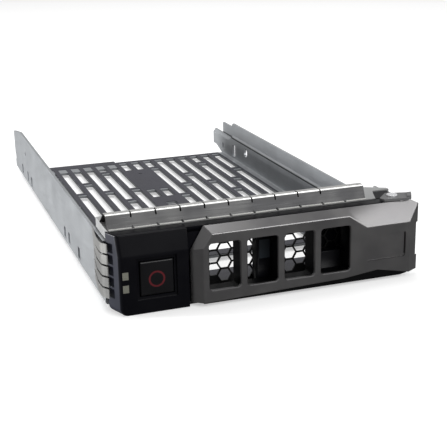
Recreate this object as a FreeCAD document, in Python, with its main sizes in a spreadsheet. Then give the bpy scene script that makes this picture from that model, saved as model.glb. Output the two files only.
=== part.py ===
"""Hot-swap drive caddy for a 3.5 inch server drive.

A folded sheet-metal tray carries the drive.  Its front holds a black plastic
bezel with a release button, a hex grille, spring-finger strips that touch the
chassis, and a hinged handle whose lever tip pushes the caddy in and out.

Working axes, in millimetres: X runs from the left rail's outer face to the
right, Y from the bezel's front face to the rear, Z up from the bezel's
underside.  Each finished sub-part is then moved so that the origin lies under
the middle of the whole caddy.
"""
import FreeCAD, Part
import math
import os
import re
import Sketcher
from FreeCAD import Placement, Rotation, Vector

doc = FreeCAD.newDocument("DriveCaddy")

# ---------------------------------------------------------------- dimensions
SIZES = [
    # drive and tray
    ("drive_width", 101.6, "width of the drive that lies in the tray"),
    ("drive_gap", 0.2, "side gap between the drive and each rail"),
    ("sheet_thick", 1.0, "thickness of the folded sheet"),
    ("tray_lift", 1.0, "tray's underside above the bezel's underside"),
    ("bend_round", 0.6, "inner radius of the tray's folds"),
    ("fold_round", 0.8, "outer rounding of the tray's folds"),
    ("rail_front", 9.8, "front ends of both rails"),
    ("left_top", 22.6, "top edge of the left rail"),
    ("left_rear", 204.5, "rear end of the left rail"),
    ("left_slope_run", 22.0, "length of the slope at the left rail's rear top"),
    ("left_slope_drop", 3.4, "drop of that slope"),
    ("left_notch_low", 5.0, "lower edge of the notch in the left rail's rear end"),
    ("left_notch_tall", 3.0, "height of that notch"),
    ("left_notch_deep", 1.4, "depth of that notch"),
    ("right_top", 19.2, "top edge of the right rail"),
    ("right_rear", 201.5, "rear end of the right rail"),
    ("crease_height", 12.2, "height of the joggle along the right rail"),
    ("crease_rear", 10.2, "height of the joggle behind its step"),
    ("crease_step_at", 174.0, "front end of the step in the joggle"),
    ("crease_step_run", 4.5, "length of that step"),
    ("joggle_out", 1.0, "outward offset of the right rail's upper part"),
    ("right_step_one", 174.5, "first step down in the right rail's top edge"),
    ("right_drop_one", 2.0, "height of the first step"),
    ("right_step_two", 189.0, "second step down in the right rail's top edge"),
    ("right_tip_top", 11.6, "top of the right rail's rear tip"),
    ("right_tip_low", 4.2, "underside of the right rail's rear tip"),
    ("floor_rear", 186.8, "rear edge of the floor"),
    ("floor_tab_extra", 2.8, "how far the left part of the floor runs on"),
    ("floor_tab_side", 46.0, "right end of that part"),
    ("floor_front", 9.8, "front edge of the floor"),
    # floor slots
    ("slot_pitch", 6.07, "spacing of the slot columns across the floor"),
    ("slot_wide", 3.9, "width of a floor slot"),
    ("slot_field_front", 66.0, "front end of the slot field"),
    ("slot_margin", 2.2, "plain strip behind the slot field"),
    ("web_pitch", 50.0, "spacing of the webs that break up a column"),
    ("web_stagger", 16.6, "shift of the webs from one kind of column to the next"),
    ("web_first", 20.0, "place of the first web in a column"),
    ("web_wide", 2.2, "width of a web"),
    ("steel_setback", 1.6, "how much sooner a slot ends in the steel than in the film"),
    ("shelf_rear", 177.0, "rear end of the steel slots under the left columns"),
    ("pad_front", 134.0, "front edge of the plain pad in the floor"),
    ("pad_rear", 169.0, "rear edge of the plain pad"),
    ("pad_slot_front", 119.6, "front end of the two short slots by the pad"),
    ("pad_slot_rear", 132.6, "rear end of the two short slots"),
    ("pad_round_hole_at", 161.0, "place of the small hole in the pad"),
    ("pad_round_hole", 0.9, "radius of the small hole in the pad"),
    ("oval_hole_at", 108.4, "place of the oval hole in front of the pad"),
    ("oval_hole_wide", 4.4, "width of the oval hole"),
    ("window_side", 29.0, "left end of the large floor windows"),
    ("window_span", 58.0, "width of the large floor windows"),
    ("window_one_front", 24.0, "front edge of the first floor window"),
    ("window_one_rear", 38.5, "rear edge of the first floor window"),
    ("window_two_front", 43.5, "front edge of the second floor window"),
    ("window_two_rear", 62.0, "rear edge of the second floor window"),
    # insulating film
    ("film_thick", 0.2, "thickness of the insulating film"),
    ("film_margin", 2.7, "gap between the film and each rail"),
    ("film_front", 19.0, "front edge of the film"),
    # rail slots and screw holes
    ("rail_slot_wide", 3.4, "width of the upright slots in the left rail"),
    ("rail_slot_low", 1.9, "lower end of those slots, above the tray's underside"),
    ("rail_slot_tall", 4.4, "height of those slots"),
    ("left_slot_one", 51.0, "first upright slot in the left rail"),
    ("left_slot_two", 69.0, "second upright slot"),
    ("left_slot_three", 77.0, "third upright slot"),
    ("left_slot_four", 156.0, "fourth upright slot"),
    ("left_slot_five", 166.0, "fifth upright slot"),
    ("left_slot_six", 182.0, "sixth upright slot"),
    ("left_hole_at", 170.0, "place of the small hole in the left rail"),
    ("left_hole_high", 14.9, "height of the small hole in the left rail"),
    ("screw_row_rear", 154.0, "rear drive-screw hole in the right rail"),
    ("screw_pitch", 101.6, "spacing of the drive's side screws"),
    ("screw_lift", 6.35, "height of the drive's side screws above its underside"),
    ("screw_hole", 2.0, "radius of the drive-screw holes"),
    ("vent_slot_at", 170.5, "tall slot in the right rail"),
    ("vent_slot_tall", 6.0, "height of that slot"),
    ("vent_slot_wide", 3.2, "width of that slot"),
    # bezel
    ("bezel_left", 0.4, "left side of the bezel at its back"),
    ("side_bevel", 1.9, "width of the bevel on the bezel's left side"),
    ("side_bevel_run", 6.5, "depth of that bevel"),
    ("block_right", 25.3, "right side of the control block"),
    ("block_deep", 7.0, "depth of the control block"),
    ("bezel_top", 26.4, "top face of the bezel"),
    ("brow_low", 19.5, "lower edge of the sloping brow"),
    ("brow_back", 1.5, "how far the brow slopes back"),
    ("rail_front_face", 1.6, "front face of the bezel's top bar and sill"),
    ("bar_low", 24.7, "underside of the bezel's top bar"),
    ("bar_back", 6.0, "back face of the bezel's top bar"),
    ("sill_top", 2.0, "top face of the bezel's sill"),
    ("sill_back", 9.6, "back face of the bezel's sill"),
    ("sill_low", 0.3, "underside of the bezel's sill"),
    ("sill_lip_back", 16.0, "rear edge of the lip under the floor"),
    ("sill_lip_left", 10.0, "left end of the lip under the floor"),
    ("sill_lip_inset", 14.4, "right end of the lip under the floor inside the right rail's outer face"),
    ("joint_lap", 0.5, "how far the blocks of a moulding run into each other"),
    ("rib_left", 50.4, "left side of the rib behind the second window"),
    ("rib_wide", 7.4, "width of the rib"),
    ("rib_front", 5.8, "front face of the rib and the end wall"),
    ("rib_dent_low", 10.8, "lower edge of the dent in the rib's face"),
    ("rib_dent_tall", 6.6, "height of the dent"),
    ("rib_dent_deep", 0.5, "depth of the dent"),
    ("rib_dent_side", 1.0, "rim of the rib to the left of the dent"),
    ("rib_pad_thick", 0.3, "thickness of the pad in the dent"),
    ("end_wall_left", 70.6, "left end of the low wall at the hinge end"),
    ("end_wall_top", 10.0, "top of the low wall"),
    ("end_wall_inset", 11.5, "right end of the low wall inside the right rail's outer face"),
    # button
    ("recess_left", 8.2, "left side of the recess round the button"),
    ("recess_wide", 13.2, "width of the recess"),
    ("recess_low", 4.6, "lower side of the recess"),
    ("recess_tall", 14.0, "height of the recess"),
    ("recess_deep", 0.8, "depth of the recess"),
    ("button_left", 9.3, "left side of the button"),
    ("button_low", 5.8, "lower side of the button"),
    ("button_wide", 11.0, "width of the button"),
    ("button_tall", 11.4, "height of the button"),
    ("button_gap", 0.25, "gap between the button and the bezel"),
    ("button_proud", 0.3, "how far the button stands back from the bezel's face"),
    ("button_deep", 8.5, "depth of the button"),
    ("button_round", 0.6, "rounding of the button's front edges"),
    ("ring_x", 14.7, "middle of the ring across the caddy"),
    ("ring_z", 11.1, "height of the middle of the ring"),
    ("spring_well", 2.6, "radius of the button's spring well"),
    ("well_deep", 4.0, "depth of the spring well"),
    ("spring_wire", 0.25, "radius of the springs' wire"),
    ("spring_coil", 2.0, "radius of the button spring's coils"),
    ("spring_turns", 4, "turns of the springs"),
    ("spring_seat", 0.1, "gap at each end of the button spring"),
    ("pin_spring_gap", 0.3, "gap between the pin and the handle spring"),
    ("ring_outer", 2.7, "outer radius of the coloured ring"),
    ("ring_inner", 2.1, "inner radius of the coloured ring"),
    ("ring_sunk", 0.4, "depth of the ring's groove"),
    ("light_left", 3.6, "left side of the two light windows"),
    ("light_wide", 1.9, "width of a light window"),
    ("light_tall", 2.5, "height of a light window"),
    ("light_low", 7.8, "lower side of the lower light window"),
    ("light_pitch", 4.3, "spacing of the light windows"),
    ("light_gap", 0.05, "gap round a light pipe"),
    # handle
    ("handle_left", 26.0, "left side of the handle at its back"),
    ("handle_over", 4.0, "how far the handle's back stands out past the right rail"),
    ("handle_front", -2.2, "front face of the handle"),
    ("handle_back", 1.2, "back of the handle's bevelled shell"),
    ("handle_low", 0.9, "underside of the handle"),
    ("handle_top", 26.4, "top of the handle at its back"),
    ("corner_cut", 3.0, "run of the front's slanting upper left corner"),
    ("corner_slope", 1.48, "slope of that corner"),
    ("corner_back", 4.6, "run of the back's slanting upper left corner"),
    ("corner_back_slope", 1.65, "slope of that corner"),
    ("bevel_side", 3.4, "width of the bevel on the handle's left side"),
    ("bevel_top", 2.15, "height of the bevel on the handle's top"),
    ("facet_low", 19.6, "lower edge of the large facet at the right"),
    ("facet_left", 86.7, "left end of the large facet's lower edge"),
    ("facet_run", 6.3, "run of the slanting edge beside the large facet"),
    ("bevel_right", 4.8, "width of the bevel on the handle's right side"),
    ("under_rise_at", 81.0, "start of the rise in the handle's underside"),
    ("under_rise_run", 9.5, "length of that rise"),
    ("under_rise", 1.9, "height of that rise"),
    ("window_left", 31.4, "left side of the first handle window"),
    ("window_pitch", 12.95, "spacing of the handle windows"),
    ("window_wide", 10.65, "width of a handle window"),
    ("window_low", 5.3, "lower side of the handle windows"),
    ("window_tall", 15.7, "height of the handle windows"),
    ("window_round", 1.1, "corner rounding of the handle windows"),
    ("duct_wall", 1.1, "wall round the windows behind the shell"),
    ("duct_back", 5.4, "back of the walls round the windows"),
    ("label_left", 87.3, "left side of the label field"),
    ("label_wide", 14.2, "width of the label field"),
    ("label_low", 7.6, "lower side of the label field"),
    ("label_tall", 8.8, "height of the label field"),
    ("label_deep", 0.3, "depth of the label field"),
    ("waist_low", 6.4, "lower end of the waist in the handle's right side"),
    ("waist_tall", 11.8, "height of the waist"),
    ("waist_deep", 1.0, "depth of the waist"),
    # hinge
    ("pivot_inset", 4.4, "hinge axis inside the right rail's outer face"),
    ("pivot_y", 4.8, "hinge axis behind the bezel's face"),
    ("pin_radius", 1.2, "radius of the hinge pin"),
    ("pin_clear", 0.05, "running clearance round the hinge pin"),
    ("pin_head", 1.9, "radius of the hinge pin's head"),
    ("pin_head_tall", 0.5, "height of the hinge pin's head"),
    ("barrel_radius", 3.0, "radius of the hinge barrel"),
    ("hinge_gap", 0.3, "gap above and below the hinge barrel"),
    ("barrel_top", 19.8, "top of the hinge barrel"),
    ("lug_wide", 3.0, "width of the lug that the catch holds"),
    ("lug_low", 8.0, "lower side of the lug"),
    ("lug_tall", 7.0, "height of the lug"),
    ("lug_deep", 2.0, "depth of the lug"),
    ("catch_hold", 1.4, "how far the catch reaches over the lug"),
    ("catch_gap", 0.4, "gap between the catch and the bezel or the lug"),
    ("catch_thick", 1.2, "thickness of the catch"),
    ("catch_tall", 5.0, "height of the catch"),
    ("lever_reach", 7.6, "reach of the lever to the right of the pivot"),
    ("lever_left", 6.0, "reach of the lever to the left of the pivot"),
    ("lever_front", 6.2, "reach of the lever in front of the pivot"),
    ("lever_neck", 3.6, "start of the lever's arm to the right of the pivot"),
    ("lever_bevel", 1.4, "slant of the lever's corners"),
    ("tip_wide", 2.0, "width of the block on the lever's tip"),
    ("tip_tall", 0.5, "height of that block"),
    ("lever_thick", 0.8, "thickness of the lever plate"),
    ("lever_gap", 0.2, "gap under the lever plate"),
    # front plate, grille and strips
    ("plate_thick", 0.8, "thickness of the front plate"),
    ("plate_rise", 0.2, "height of the front plate's top above the bezel's"),
    ("plate_clear", 0.1, "gap between the front plate and the rebate in the bezel"),
    ("plate_front", 6.3, "front edge of the front plate"),
    ("plate_rear", 23.0, "rear edge of the front plate"),
    ("cavity_rear", 15.0, "rear edge of the notch over the hinge"),
    ("cavity_reach", 5.4, "left end of the notch over the hinge from the pivot"),
    ("cavity_slant", 3.4, "slant of the notch's left side"),
    ("cavity_corner", 4.0, "depth of the notch's rear left corner"),
    ("plate_short", 11.5, "how far the plate's rear edge stops short of the right rail"),
    ("plate_edge", 1.6, "length of the plate's edge along the right rail"),
    ("right_lip_deep", 8.0, "depth of the front plate's right lip"),
    ("wall_short", 2.0, "how far the wall behind the button stops short of the block"),
    ("spring_wall", 13.0, "front face of the wall behind the button"),
    ("side_lip_low", 6.5, "lower edge of the front plate's side lips"),
    ("rivet_radius", 1.0, "radius of the rivets in the side lips"),
    ("rivet_head", 1.4, "radius of the rivets' heads"),
    ("rivet_head_tall", 0.4, "height of the rivets' heads"),
    ("left_rivet_y", 11.4, "place of the left rivets"),
    ("right_rivet_y", 19.0, "place of the right rivets"),
    ("rivet_low", 8.8, "height of the rivets"),
    ("rivet_rise", 8.0, "spacing of the left rivets"),
    ("screw_left", 38.0, "place of the left bezel screw"),
    ("bezel_screw_pitch", 44.0, "spacing of the bezel screws"),
    ("bezel_screw_y", 13.2, "place of the bezel screws behind the front"),
    ("bezel_screw", 1.2, "radius of the bezel screws"),
    ("bezel_screw_head", 2.1, "radius of the bezel screws' heads"),
    ("bezel_screw_head_tall", 0.9, "height of the bezel screws' heads"),
    ("plate_lip", 4.0, "depth of the front plate's rear lip"),
    ("grille_left", 29.5, "left end of the grille"),
    ("grille_inset", 8.5, "right end of the grille inside the right rail's outer face"),
    ("grille_front", 10.4, "front face of the grille"),
    ("grille_thick", 0.5, "thickness of the grille"),
    ("hex_pitch", 4.5, "spacing of the hex holes"),
    ("hex_web", 0.55, "width of the webs between the hex holes"),
    ("grille_rim", 1.2, "plain rim of the grille"),
    ("strip_thick", 0.25, "thickness of the spring-finger strips"),
    ("strip_left", 1.0, "left end of the top strip"),
    ("strip_inset", 13.5, "right end of the top strip inside the right rail's outer face"),
    ("strip_front", 6.5, "front foot of the top strip"),
    ("strip_rear", 17.4, "rear foot of the top strip"),
    ("strip_ridge_front", 8.6, "front of the top strip's ridge"),
    ("strip_ridge_rear", 11.0, "rear of the top strip's ridge"),
    ("strip_top", 31.3, "top of the top strip"),
    ("finger_pitch", 8.16, "spacing of the top strip's fingers"),
    ("finger_slit", 0.5, "width of the slits between fingers"),
    ("ridge_slit", 1.5, "depth of the slits in the top strip's ridge"),
    ("foot_slit", 0.8, "height of the slits in the top strip's feet"),
    ("side_front", 3.9, "front foot of the side strip"),
    ("side_rear", 18.0, "rear foot of the side strip"),
    ("side_strip_low", 3.2, "lower end of the side strip"),
    ("side_strip_high", 22.4, "upper end of the side strip"),
    ("side_strip_out", 1.7, "how far the side strip stands out"),
    ("side_finger_pitch", 3.75, "spacing of the side strip's fingers"),
    ("side_ridge_from", 2.6, "run of the side strip's front slope"),
    ("side_ridge_to", 5.0, "rear of the side strip's ridge, behind its front foot"),
    ("side_foot_gap", 0.05, "gap between the side strip's feet and the rail"),
]

sheet = doc.addObject("Spreadsheet::Sheet", "Sizes")
for row, (alias, value, note) in enumerate(SIZES, start=1):
    sheet.set(f"A{row}", alias)
    sheet.set(f"B{row}", str(value))
    sheet.setAlias(f"B{row}", alias)
    sheet.set(f"C{row}", note)
doc.recompute()
NAMES = {alias for alias, value, note in SIZES}


# ------------------------------------------------------------------- helpers
def full(text):
    """Turn size names into references to the sheet."""
    return re.sub(r"[a-z_]+", lambda m: "Sizes." + m.group() if m.group() in NAMES else m.group(), text)


def value(text):
    """Work out an expression of size names as a number."""
    return float(sheet.evalExpression(full(text)))


def new_body(name):
    return doc.addObject("PartDesign::Body", name)


def origin_plane(body, role):
    return next(item for item in body.Origin.OriginFeatures if item.Role == role)


def sketch(body, name, role, loops, start="0"):
    """Draw closed loops on an origin plane, moved along its axis by start.

    A loop is a list of corner points, or a (centre x, centre y, radius) circle.
    Every number is an expression of size names and stays bound to the sheet.
    """
    drawing = body.newObject("Sketcher::SketchObject", name)
    drawing.AttachmentSupport = [(origin_plane(body, role), "")]
    drawing.MapMode = "FlatFace"
    sign = "-" if role == "XZ_Plane" else ""
    drawing.setExpression("AttachmentOffset.Base.z", full(f"{sign}({start})"))
    for loop in loops:
        if isinstance(loop, tuple):
            add_circle(drawing, *loop)
        else:
            add_outline(drawing, loop)
    return drawing


def bind(drawing, kind, geometry, point, text):
    """Hold one coordinate of a sketch point with a driven constraint."""
    rule = Sketcher.Constraint(kind, -1, 1, geometry, point, value(text))
    drawing.setExpression(f"Constraints[{drawing.addConstraint(rule)}]", full(text))


def add_circle(drawing, x, y, radius):
    centre = Vector(value(x), value(y), 0)
    index = drawing.addGeometry(Part.Circle(centre, Vector(0, 0, 1), value(radius)), False)
    bind(drawing, "DistanceX", index, 3, x)
    bind(drawing, "DistanceY", index, 3, y)
    rule = drawing.addConstraint(Sketcher.Constraint("Radius", index, value(radius)))
    drawing.setExpression(f"Constraints[{rule}]", full(radius))


def add_outline(drawing, points):
    first = drawing.GeometryCount
    count = len(points)
    corners = [Vector(value(x), value(y), 0) for x, y in points]
    drawing.addGeometry([Part.LineSegment(corners[i], corners[(i + 1) % count]) for i in range(count)], False)
    for i in range(count):
        drawing.addConstraint(Sketcher.Constraint("Coincident", first + i, 2, first + (i + 1) % count, 1))
    for i, (x, y) in enumerate(points):
        bind(drawing, "DistanceX", first + i, 1, x)
        bind(drawing, "DistanceY", first + i, 1, y)


def box_loop(left, low, wide, tall):
    right = f"{left} + {wide}"
    high = f"{low} + {tall}"
    return [(left, low), (right, low), (right, high), (left, high)]


def pad(body, name, role, loops, start, length):
    """Add material from start, running in the positive direction of the axis."""
    feature = body.newObject("PartDesign::Pad", name)
    feature.Profile = sketch(body, name + "Sketch", role, loops, start)
    feature.Reversed = role == "XZ_Plane"
    feature.setExpression("Length", full(length))
    body.Tip = feature
    doc.recompute()
    return feature


def pocket(body, name, role, loops, start, length):
    """Remove material from start, running in the positive direction of the axis."""
    before = body.Tip.Shape.Volume
    feature = body.newObject("PartDesign::Pocket", name)
    feature.Profile = sketch(body, name + "Sketch", role, loops, start)
    feature.Reversed = role != "XZ_Plane"
    feature.setExpression("Length", full(length))
    body.Tip = feature
    doc.recompute()
    if feature.Shape.Volume >= before:
        raise RuntimeError(name + " removed nothing")
    return feature


def loft(body, name, role, near, near_at, far, far_at):
    """Join two outlines of equal corner counts with ruled faces."""
    feature = body.newObject("PartDesign::AdditiveLoft", name)
    feature.Profile = sketch(body, name + "Near", role, [near], near_at)
    feature.Sections = [sketch(body, name + "Far", role, [far], far_at)]
    feature.Ruled = True
    body.Tip = feature
    doc.recompute()
    return feature


def round_edges(body, name, radius, wanted, kind="Fillet", size="Radius"):
    """Round or chamfer the edges whose two end points both pass the test."""
    base = body.Tip
    chosen = []
    for number, edge in enumerate(base.Shape.Edges, start=1):
        if wanted(edge.Vertexes[0].Point, edge.Vertexes[-1].Point):
            chosen.append(f"Edge{number}")
    feature = body.newObject("PartDesign::" + kind, name)
    feature.Base = (base, chosen)
    feature.setExpression(size, full(radius))
    body.Tip = feature
    doc.recompute()
    return feature


def close(a, b):
    return abs(a - b) < 1e-4


def box_shape(left, front, low, right, back, high):
    return Part.makeBox(right - left, back - front, high - low, Vector(left, front, low))


def shaped(name, shape):
    """Hold a shape worked out from the sheet's values."""
    feature = doc.addObject("Part::Feature", name)
    feature.Shape = shape
    return feature


def cut(name, base, tool):
    feature = doc.addObject("Part::Cut", name)
    feature.Base = base
    feature.Tool = tool
    doc.recompute()
    return feature


# Named places that several sub-parts share, as expressions of the sizes.
INNER_WIDE = "(drive_width + 2 * drive_gap)"
TRAY_WIDE = f"({INNER_WIDE} + 2 * sheet_thick)"
RIGHT_INNER = f"({INNER_WIDE} + sheet_thick)"
FLOOR_TOP = "(tray_lift + sheet_thick)"
DRIVE_BASE = f"({FLOOR_TOP} + film_thick)"
TRAY_MIDDLE = f"({TRAY_WIDE} / 2)"
PIVOT_X = f"({TRAY_WIDE} - pivot_inset)"
HANDLE_RIGHT = f"({TRAY_WIDE} + handle_over)"
LEVER_TIP = f"({PIVOT_X} + lever_reach)"
GRILLE_RIGHT = f"({TRAY_WIDE} - grille_inset)"
STRIP_RIGHT = f"({TRAY_WIDE} - strip_inset)"
END_WALL_RIGHT = f"({TRAY_WIDE} - end_wall_inset)"
SILL_LIP_RIGHT = f"({TRAY_WIDE} - sill_lip_inset)"
CAVITY_LEFT = f"({PIVOT_X} - cavity_reach)"
PLATE_TOP = "(bezel_top + plate_rise)"
GRILLE_TOP = f"({PLATE_TOP} - plate_thick)"
LEFT_RIVETS = [("left_rivet_y", "rivet_low", "rivet_radius"),
               ("left_rivet_y", "rivet_low + rivet_rise", "rivet_radius")]
RIGHT_RIVET = ("right_rivet_y", "rivet_low", "rivet_radius")
BEZEL_SCREWS = [("screw_left", "bezel_screw_y", "bezel_screw"),
                ("screw_left + bezel_screw_pitch", "bezel_screw_y", "bezel_screw")]


# ---------------------------------------------------------------- floor slots
def slot_runs():
    """Yield (column, left, front, rear) for every slot of the floor's field."""
    pitch = value("slot_pitch")
    width = value("slot_wide")
    reach = value(f"{INNER_WIDE} / 2 - film_margin")
    half = 1 + int((reach - width / 2 - pitch / 2) // pitch)
    for column in range(2 * half):
        left = value(TRAY_MIDDLE) + (column - half + 0.5) * pitch - width / 2
        in_pad = column in (half - 1, half)
        for front, rear in pad_column() if in_pad else web_column(column, left):
            yield column, left, front, rear


def field_end(left):
    """The slots end at the film's rear edge, less a plain margin."""
    on_tab = left + value("slot_wide") < value("floor_tab_side")
    return value("floor_rear - slot_margin") - (value("slot_margin / 2") if on_tab else 0)


def pad_column():
    """The two middle columns leave out the plain pad and the oval hole."""
    yield value("slot_field_front"), value("oval_hole_at - 2 * oval_hole_wide")
    yield value("pad_slot_front"), value("pad_slot_rear")
    yield value("pad_rear"), value("floor_rear - slot_margin")


def web_column(column, left):
    """The webs of the other columns step forward in a pattern of four."""
    steps = (2, 0, 2, 1)[column % 4]
    web = value(f"web_first - {steps} * web_stagger")
    shortest = 2 * value("web_wide")
    front = value("slot_field_front")
    end = field_end(left)
    while web < end:
        if web > front + shortest and web < end - shortest:
            yield front, web - value("web_wide") / 2
            front = web + value("web_wide") / 2
        web += value("web_pitch")
    yield front, end


def floor_cutter(low, high, setback):
    """Boxes and posts that pierce the floor between two heights."""
    width = value("slot_wide")
    shelf = value("shelf_rear")
    boxes = []
    for column, left, front, rear in slot_runs():
        end = rear - setback
        if setback and field_end(left) < value("floor_rear - slot_margin") and rear > shelf:
            end = shelf
        boxes.append(box_shape(left, front, low, left + width, end, high))
    side = value("window_side")
    far = value("window_side + window_span")
    for row in ("one", "two"):
        front = value(f"window_{row}_front")
        boxes.append(box_shape(side, front, low, far, value(f"window_{row}_rear"), high))
    middle = value(TRAY_MIDDLE)
    hole = Vector(middle, value("pad_round_hole_at"), low)
    boxes.append(Part.makeCylinder(value("pad_round_hole"), high - low, hole))
    oval = value("oval_hole_wide")
    place = value("oval_hole_at")
    boxes.append(box_shape(middle - oval / 2, place - oval / 2, low, middle + oval / 2, place + oval / 2, high))
    return Part.makeCompound(boxes)


# ---------------------------------------------------------------- folded tray
def rail_section(crease):
    """Section of the right rail: upright, joggled outward, upright again."""
    inner = RIGHT_INNER
    outer = f"({inner} + sheet_thick)"
    above = f"({crease} + joggle_out)"
    return [
        (inner, "tray_lift"), (outer, "tray_lift"), (outer, crease),
        (f"{outer} + joggle_out", above), (f"{outer} + joggle_out", "right_top"),
        (f"{inner} + joggle_out", "right_top"), (f"{inner} + joggle_out", above), (inner, crease),
    ]


def build_tray():
    body = new_body("TrayBlank")
    floor = [
        ("0", "floor_front"), (TRAY_WIDE, "floor_front"), (TRAY_WIDE, "floor_rear"),
        ("floor_tab_side", "floor_rear"), ("floor_tab_side", "floor_rear + floor_tab_extra"),
        ("0", "floor_rear + floor_tab_extra"),
    ]
    pad(body, "TrayFloor", "XY_Plane", [floor], "tray_lift", "sheet_thick")
    notch_top = "left_notch_low + left_notch_tall"
    left_rail = [
        ("rail_front", "tray_lift"), ("left_rear", "tray_lift"),
        ("left_rear", "left_notch_low"), ("left_rear - left_notch_deep", "left_notch_low"),
        ("left_rear - left_notch_deep", notch_top), ("left_rear", notch_top),
        ("left_rear", "left_top - left_slope_drop"), ("left_rear - left_slope_run", "left_top"),
        ("rail_front", "left_top"),
    ]
    pad(body, "LeftRail", "YZ_Plane", [left_rail], "0", "sheet_thick")
    step_end = "crease_step_at + crease_step_run"
    high = rail_section("crease_height")
    low = rail_section("crease_rear")
    pad(body, "RightRail", "XZ_Plane", [high], "rail_front", "crease_step_at - rail_front")
    loft(body, "CreaseStep", "XZ_Plane", high, "crease_step_at", low, step_end)
    pad(body, "RightRailRear", "XZ_Plane", [low], step_end, f"right_rear - ({step_end})")
    top = "right_top + sheet_thick"
    under = "tray_lift - sheet_thick"
    trims = [
        [("right_step_one + right_drop_one", "right_top - right_drop_one"),
         ("right_step_two", "right_top - right_drop_one"), ("right_step_two", "right_tip_top"),
         ("right_rear + 1", "right_tip_top"), ("right_rear + 1", top),
         ("right_step_one", top), ("right_step_one", "right_top")],
        [("floor_rear", under), ("right_rear + 1", under), ("right_rear + 1", "right_tip_low"),
         ("right_rear - crease_step_run", "right_tip_low"), ("floor_rear", "tray_lift")],
    ]
    reach = f"{RIGHT_INNER} - sheet_thick"
    pocket(body, "RightRailEnd", "YZ_Plane", trims, reach, "4 * sheet_thick")
    left_slots = []
    for place in ("one", "two", "three", "four", "five", "six"):
        front = f"left_slot_{place} - rail_slot_wide / 2"
        left_slots.append(box_loop(front, "tray_lift + rail_slot_low", "rail_slot_wide", "rail_slot_tall"))
    left_slots.append(("left_hole_at", "left_hole_high", "pad_round_hole"))
    left_slots += LEFT_RIVETS
    pocket(body, "LeftRailSlots", "YZ_Plane", left_slots, "-sheet_thick", "3 * sheet_thick")
    screw_line = f"{DRIVE_BASE} + screw_lift"
    right_holes = [
        RIGHT_RIVET,
        ("screw_row_rear", screw_line, "screw_hole"),
        ("screw_row_rear - screw_pitch", screw_line, "screw_hole"),
        box_loop("vent_slot_at - vent_slot_wide / 2", "crease_rear - vent_slot_tall - sheet_thick",
                 "vent_slot_wide", "vent_slot_tall"),
        box_loop("right_step_two - vent_slot_wide", "right_tip_low", "vent_slot_wide / 2", "vent_slot_tall / 2"),
    ]
    pocket(body, "RightRailHoles", "YZ_Plane", right_holes, reach, "4 * sheet_thick")
    pocket(body, "FloorScrewHoles", "XY_Plane", BEZEL_SCREWS, "tray_lift - sheet_thick", "3 * sheet_thick")
    low_edge = value("tray_lift")
    outer = value(TRAY_WIDE)
    round_edges(body, "OuterFolds", "fold_round", lambda a, b: close(a.z, low_edge)
                and close(b.z, low_edge) and close(a.x, b.x) and (close(a.x, 0) or close(a.x, outer))
                and abs(a.y - b.y) > 100)
    low = value(FLOOR_TOP)
    inner = value(RIGHT_INNER)
    left = value("sheet_thick")
    round_edges(body, "InnerFolds", "bend_round", lambda a, b: close(a.z, low) and close(b.z, low)
                and close(a.x, b.x) and (close(a.x, left) or close(a.x, inner)) and abs(a.y - b.y) > 100)
    piercing = floor_cutter(value("tray_lift - sheet_thick"), value(f"{FLOOR_TOP} + sheet_thick"), value("steel_setback"))
    return cut("Tray", body, shaped("FloorPiercing", piercing))


def build_film():
    body = new_body("FilmBlank")
    left = "(sheet_thick + film_margin)"
    right = f"({RIGHT_INNER} - film_margin)"
    tab_rear = "floor_rear + floor_tab_extra"
    outline = [
        (left, "film_front"), (right, "film_front"), (right, "floor_rear"),
        ("floor_tab_side", "floor_rear"), ("floor_tab_side", tab_rear), (left, tab_rear),
    ]
    pad(body, "FilmSheet", "XY_Plane", [outline], FLOOR_TOP, "film_thick")
    piercing = floor_cutter(value(FLOOR_TOP) - 1, value(FLOOR_TOP) + 1, 0)
    return cut("Film", body, shaped("FilmPiercing", piercing))


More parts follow.
